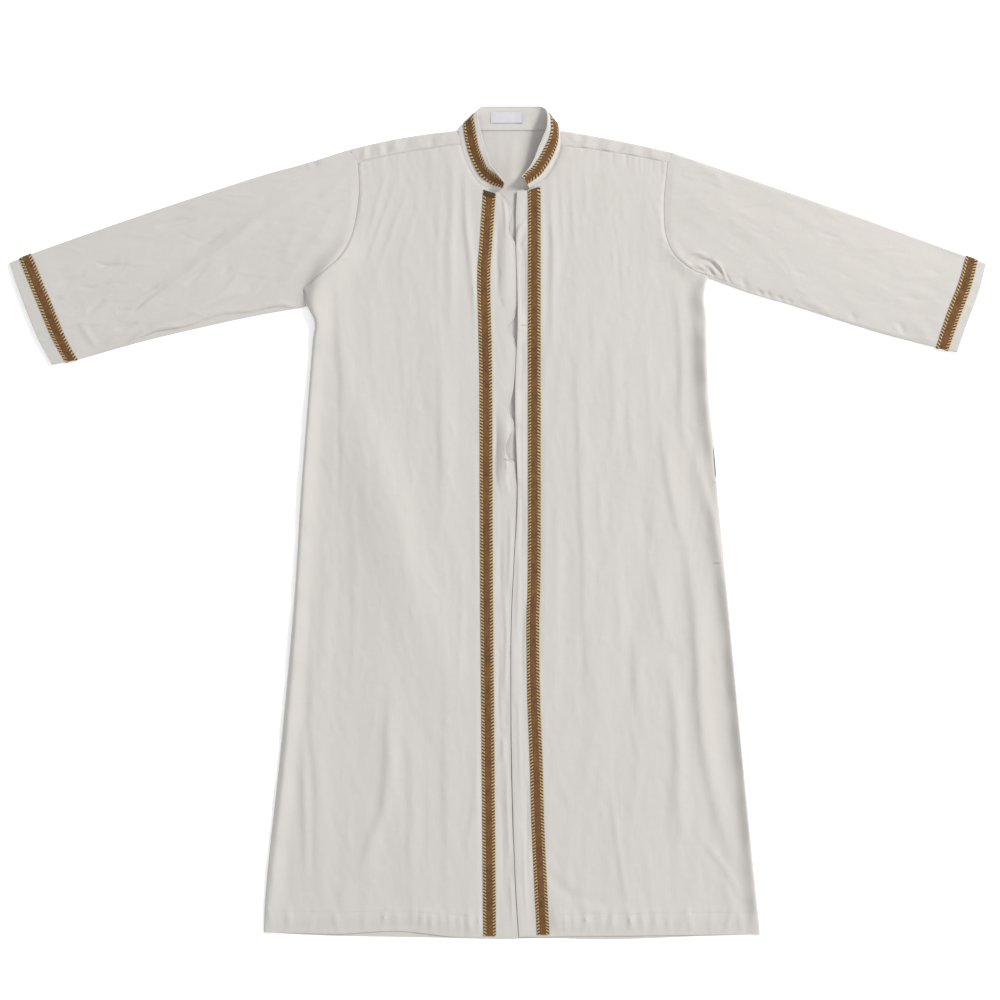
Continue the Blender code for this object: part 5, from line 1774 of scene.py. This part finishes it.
rightCuffBraid = cuffBraid("rightCuffBraid", right, rightSleeve, rightSleeveCreases, 37, "right_cuff_braid")
leftCuffBraid = cuffBraid("leftCuffBraid", left, leftSleeve, leftSleeveCreases, 53, "left_cuff_braid")


# Sewing
sewing = {
    "length": 2.1 * mm,
    "pitch": 3.0 * mm,
    "half": (0.26 * mm, 0.17 * mm),     # half a thread's width and height
    "bow": 0.16 * mm,           # how far a stitch's middle stands over the cloth
    "tackPitch": 0.8 * mm,
    "tackLength": 2.4 * mm,
    "labelPitch": 1.9 * mm,
    "hemRow": -15,              # rows and columns of the cloth's own points that the lines follow
    "placketColumn": placket["columns"] - 1,
    "yokeRow": 1,
    "placketTack": (36, 47, 307),       # x from, x to and y in mm
    "pocketTacks": ((333, 338.5, 62), (333, 345, -63.5)),
}


# Upward directions of a net of points
def netWays(net):
    way = unit(np.cross(np.gradient(net, axis=1), np.gradient(net, axis=0)))
    return way * np.where(way[..., 2:] < 0, -1, 1)


# Stitches along a line on the cloth, or crosswise as in a bar tack
def sewLine(line, up, pitch, crosswise=False):
    run = lengths(line)
    count = max(1, int(run[-1] / pitch))
    at = (np.arange(count) + 0.5) * run[-1] / count
    middle = along(line, at)
    normal = unit(readAt(at, run, up))
    way = unit(along(line, at + 0.4 * mm) - along(line, at - 0.4 * mm))
    side = unit(np.cross(way, normal))
    half = sewing["length"] / 2
    start, end = along(line, at - half), along(line, at + half)
    if crosswise:
        way, side, half = side, way, sewing["tackLength"] / 2
        start, end = middle - way * half, middle + way * half
    wide, thick = sewing["half"]
    rings = [start[:, None] - normal[:, None] * thick]
    for share in (0.28, 0.72):
        centre = start + (end - start) * share + normal * sewing["bow"]
        rings.append(np.stack((centre + side * wide, centre + normal * thick, centre - side * wide,
                               centre - normal * thick), axis=1))
    rings.append(end[:, None] - normal[:, None] * thick)
    return np.concatenate(rings, axis=1)


def makeStitches(name, lines):
    nets = np.concatenate(lines)
    around = [(k, (k + 1) % 4) for k in range(4)]
    pattern = ([(0, 1 + b, 1 + a) for a, b in around] + [(9, 5 + a, 5 + b) for a, b in around]
               + [(1 + a, 1 + b, 5 + b, 5 + a) for a, b in around])
    faces = [tuple(first + k for k in face) for first in range(0, len(nets) * 10, 10) for face in pattern]
    if looksIn(nets[0, 0], nets[0, 2], nets[0, 1], nets[0].mean(axis=0)):
        faces = [face[::-1] for face in faces]
    piece = addPiece(name, nets.reshape(-1, 3), faces, plainUv(nets), ["thread"])
    piece.data.set_sharp_from_angle(angle=np.radians(sharp["thread"]))
    return dress(piece, [])


# A level line on a net of points, from one x to another, and its ways up
def lineOn(net, x0, x1, y):
    column = np.argmin(np.abs(net[len(net) // 2, :, 0] - (x0 + x1) / 2 * mm))
    row = np.argmin(np.abs(net[:, column, 1] - y * mm))
    order = np.argsort(net[row, :, 0])
    x = np.linspace(x0, x1, 12) * mm
    line = readAt(x, net[row, order, 0], np.dstack((net, netWays(net)))[row, order])
    return line[:, :3], line[:, 3:]


def sewNet(net, row=None, column=None, ends=(3, 3), pitch=sewing["pitch"]):
    up = netWays(net)
    pick = (row, slice(ends[0], -ends[1])) if column is None else (slice(ends[0], -ends[1]), column)
    return sewLine(net[pick], up[pick], pitch)


hems = [sewNet(net, row=sewing["hemRow"], ends=(5, 8)) for net in (rightFrontGrid, leftFrontGrid)]
pockets = [lineOn(leftFrontGrid, *place) for place in sewing["pocketTacks"]]
makeStitches("hemStitches", hems + [sewLine(*line, sewing["tackPitch"], True) for line in pockets])
plackets = [sewNet(net, column=sewing["placketColumn"]) for net in (rightPlacketGrid, leftPlacketGrid)]
plackets.append(sewLine(*lineOn(leftPlacketGrid, *sewing["placketTack"]), sewing["tackPitch"], True))
makeStitches("placketStitches", plackets)
makeStitches("yokeStitches", [sewNet(net, row=sewing["yokeRow"]) for net in yokeGrids])
makeStitches("labelStitches", [sewNet(neckLabelGrid, column=column, ends=(1, 1), pitch=sewing["labelPitch"])
                               for column in (2, -3)])
stitchSection = collarSpread(300)
stitchHigh = collarAt(stitchSection)[2]
stitchAt = np.stack((0 * stitchHigh + collar["stitchIn"][0], stitchHigh - collar["stitchIn"][1]), axis=1)
stitchNet, stitchOut = collarNet(stitchSection, stitchAt)
collarLines = []
for column in (0, 1):
    line, out = stitchNet[3:-3, column], stitchOut[3:-3, column]
    collarLines.append(sewLine(line, out, sewing["pitch"]))
    collarLines.append(sewLine(line - out * collar["wall"], -out, sewing["pitch"]))
makeStitches("collarStitches", collarLines)


# Camera, light and floor
view = {
    "centre": (0.0039, 0.0357),
    "wide": 1.55,               # metres that the camera sees across
    "lens": 100,
    "sensor": 36,
    "clip": 50,
    "room": (0.98, 0.99, 1.0, 1),
    "roomStrength": 0.64,
    "floorSize": 14,
    "floorTop": -0.1 * mm,
}
# Place, aim, size, energy and colour of each lamp
lamps = {
    "key": ((4.6, 3.7, 4.9), (0, 0, 0), 1.6, 400, (1.0, 0.985, 0.965)),
    "fill": ((2.6, -3.9, 3.8), (0, -0.5, 0), 3.0, 60, (1, 1, 1)),
}

bpy.ops.mesh.primitive_plane_add(size=view["floorSize"], location=(0, 0, view["floorTop"]))
floor = bpy.context.object
floor.name = "floor"
paint = Paint("floor")
paint.shade({"Base Color": (0.94, 0.94, 0.945, 1), "Roughness": 0.9, "Specular IOR Level": 0.2,
             "Emission Color": (1, 1, 1, 1), "Emission Strength": 0.28})
floor.data.materials.append(paint.material)

high = view["wide"] * view["lens"] / view["sensor"]
bpy.ops.object.camera_add(location=(*view["centre"], high), rotation=(0, 0, 0))
camera = bpy.context.object
camera.data.lens = view["lens"]
camera.data.sensor_width = view["sensor"]
camera.data.clip_end = view["clip"]
bpy.context.scene.camera = camera

world = bpy.data.worlds.new("room")
bpy.context.scene.world = world
world.use_nodes = True
background = world.node_tree.nodes["Background"]
background.inputs["Color"].default_value = view["room"]
background.inputs["Strength"].default_value = view["roomStrength"]
bpy.context.scene.view_settings.view_transform = "Standard"

for name, (place, target, size, energy, colour) in lamps.items():
    bpy.ops.object.light_add(type="AREA", location=place)
    lamp = bpy.context.object
    lamp.name = name
    lamp.data.shape = "SQUARE"
    lamp.data.size = size
    lamp.data.energy = energy
    lamp.data.color = colour
    lamp.rotation_euler = (Vector(target) - lamp.location).to_track_quat("-Z", "Y").to_euler()
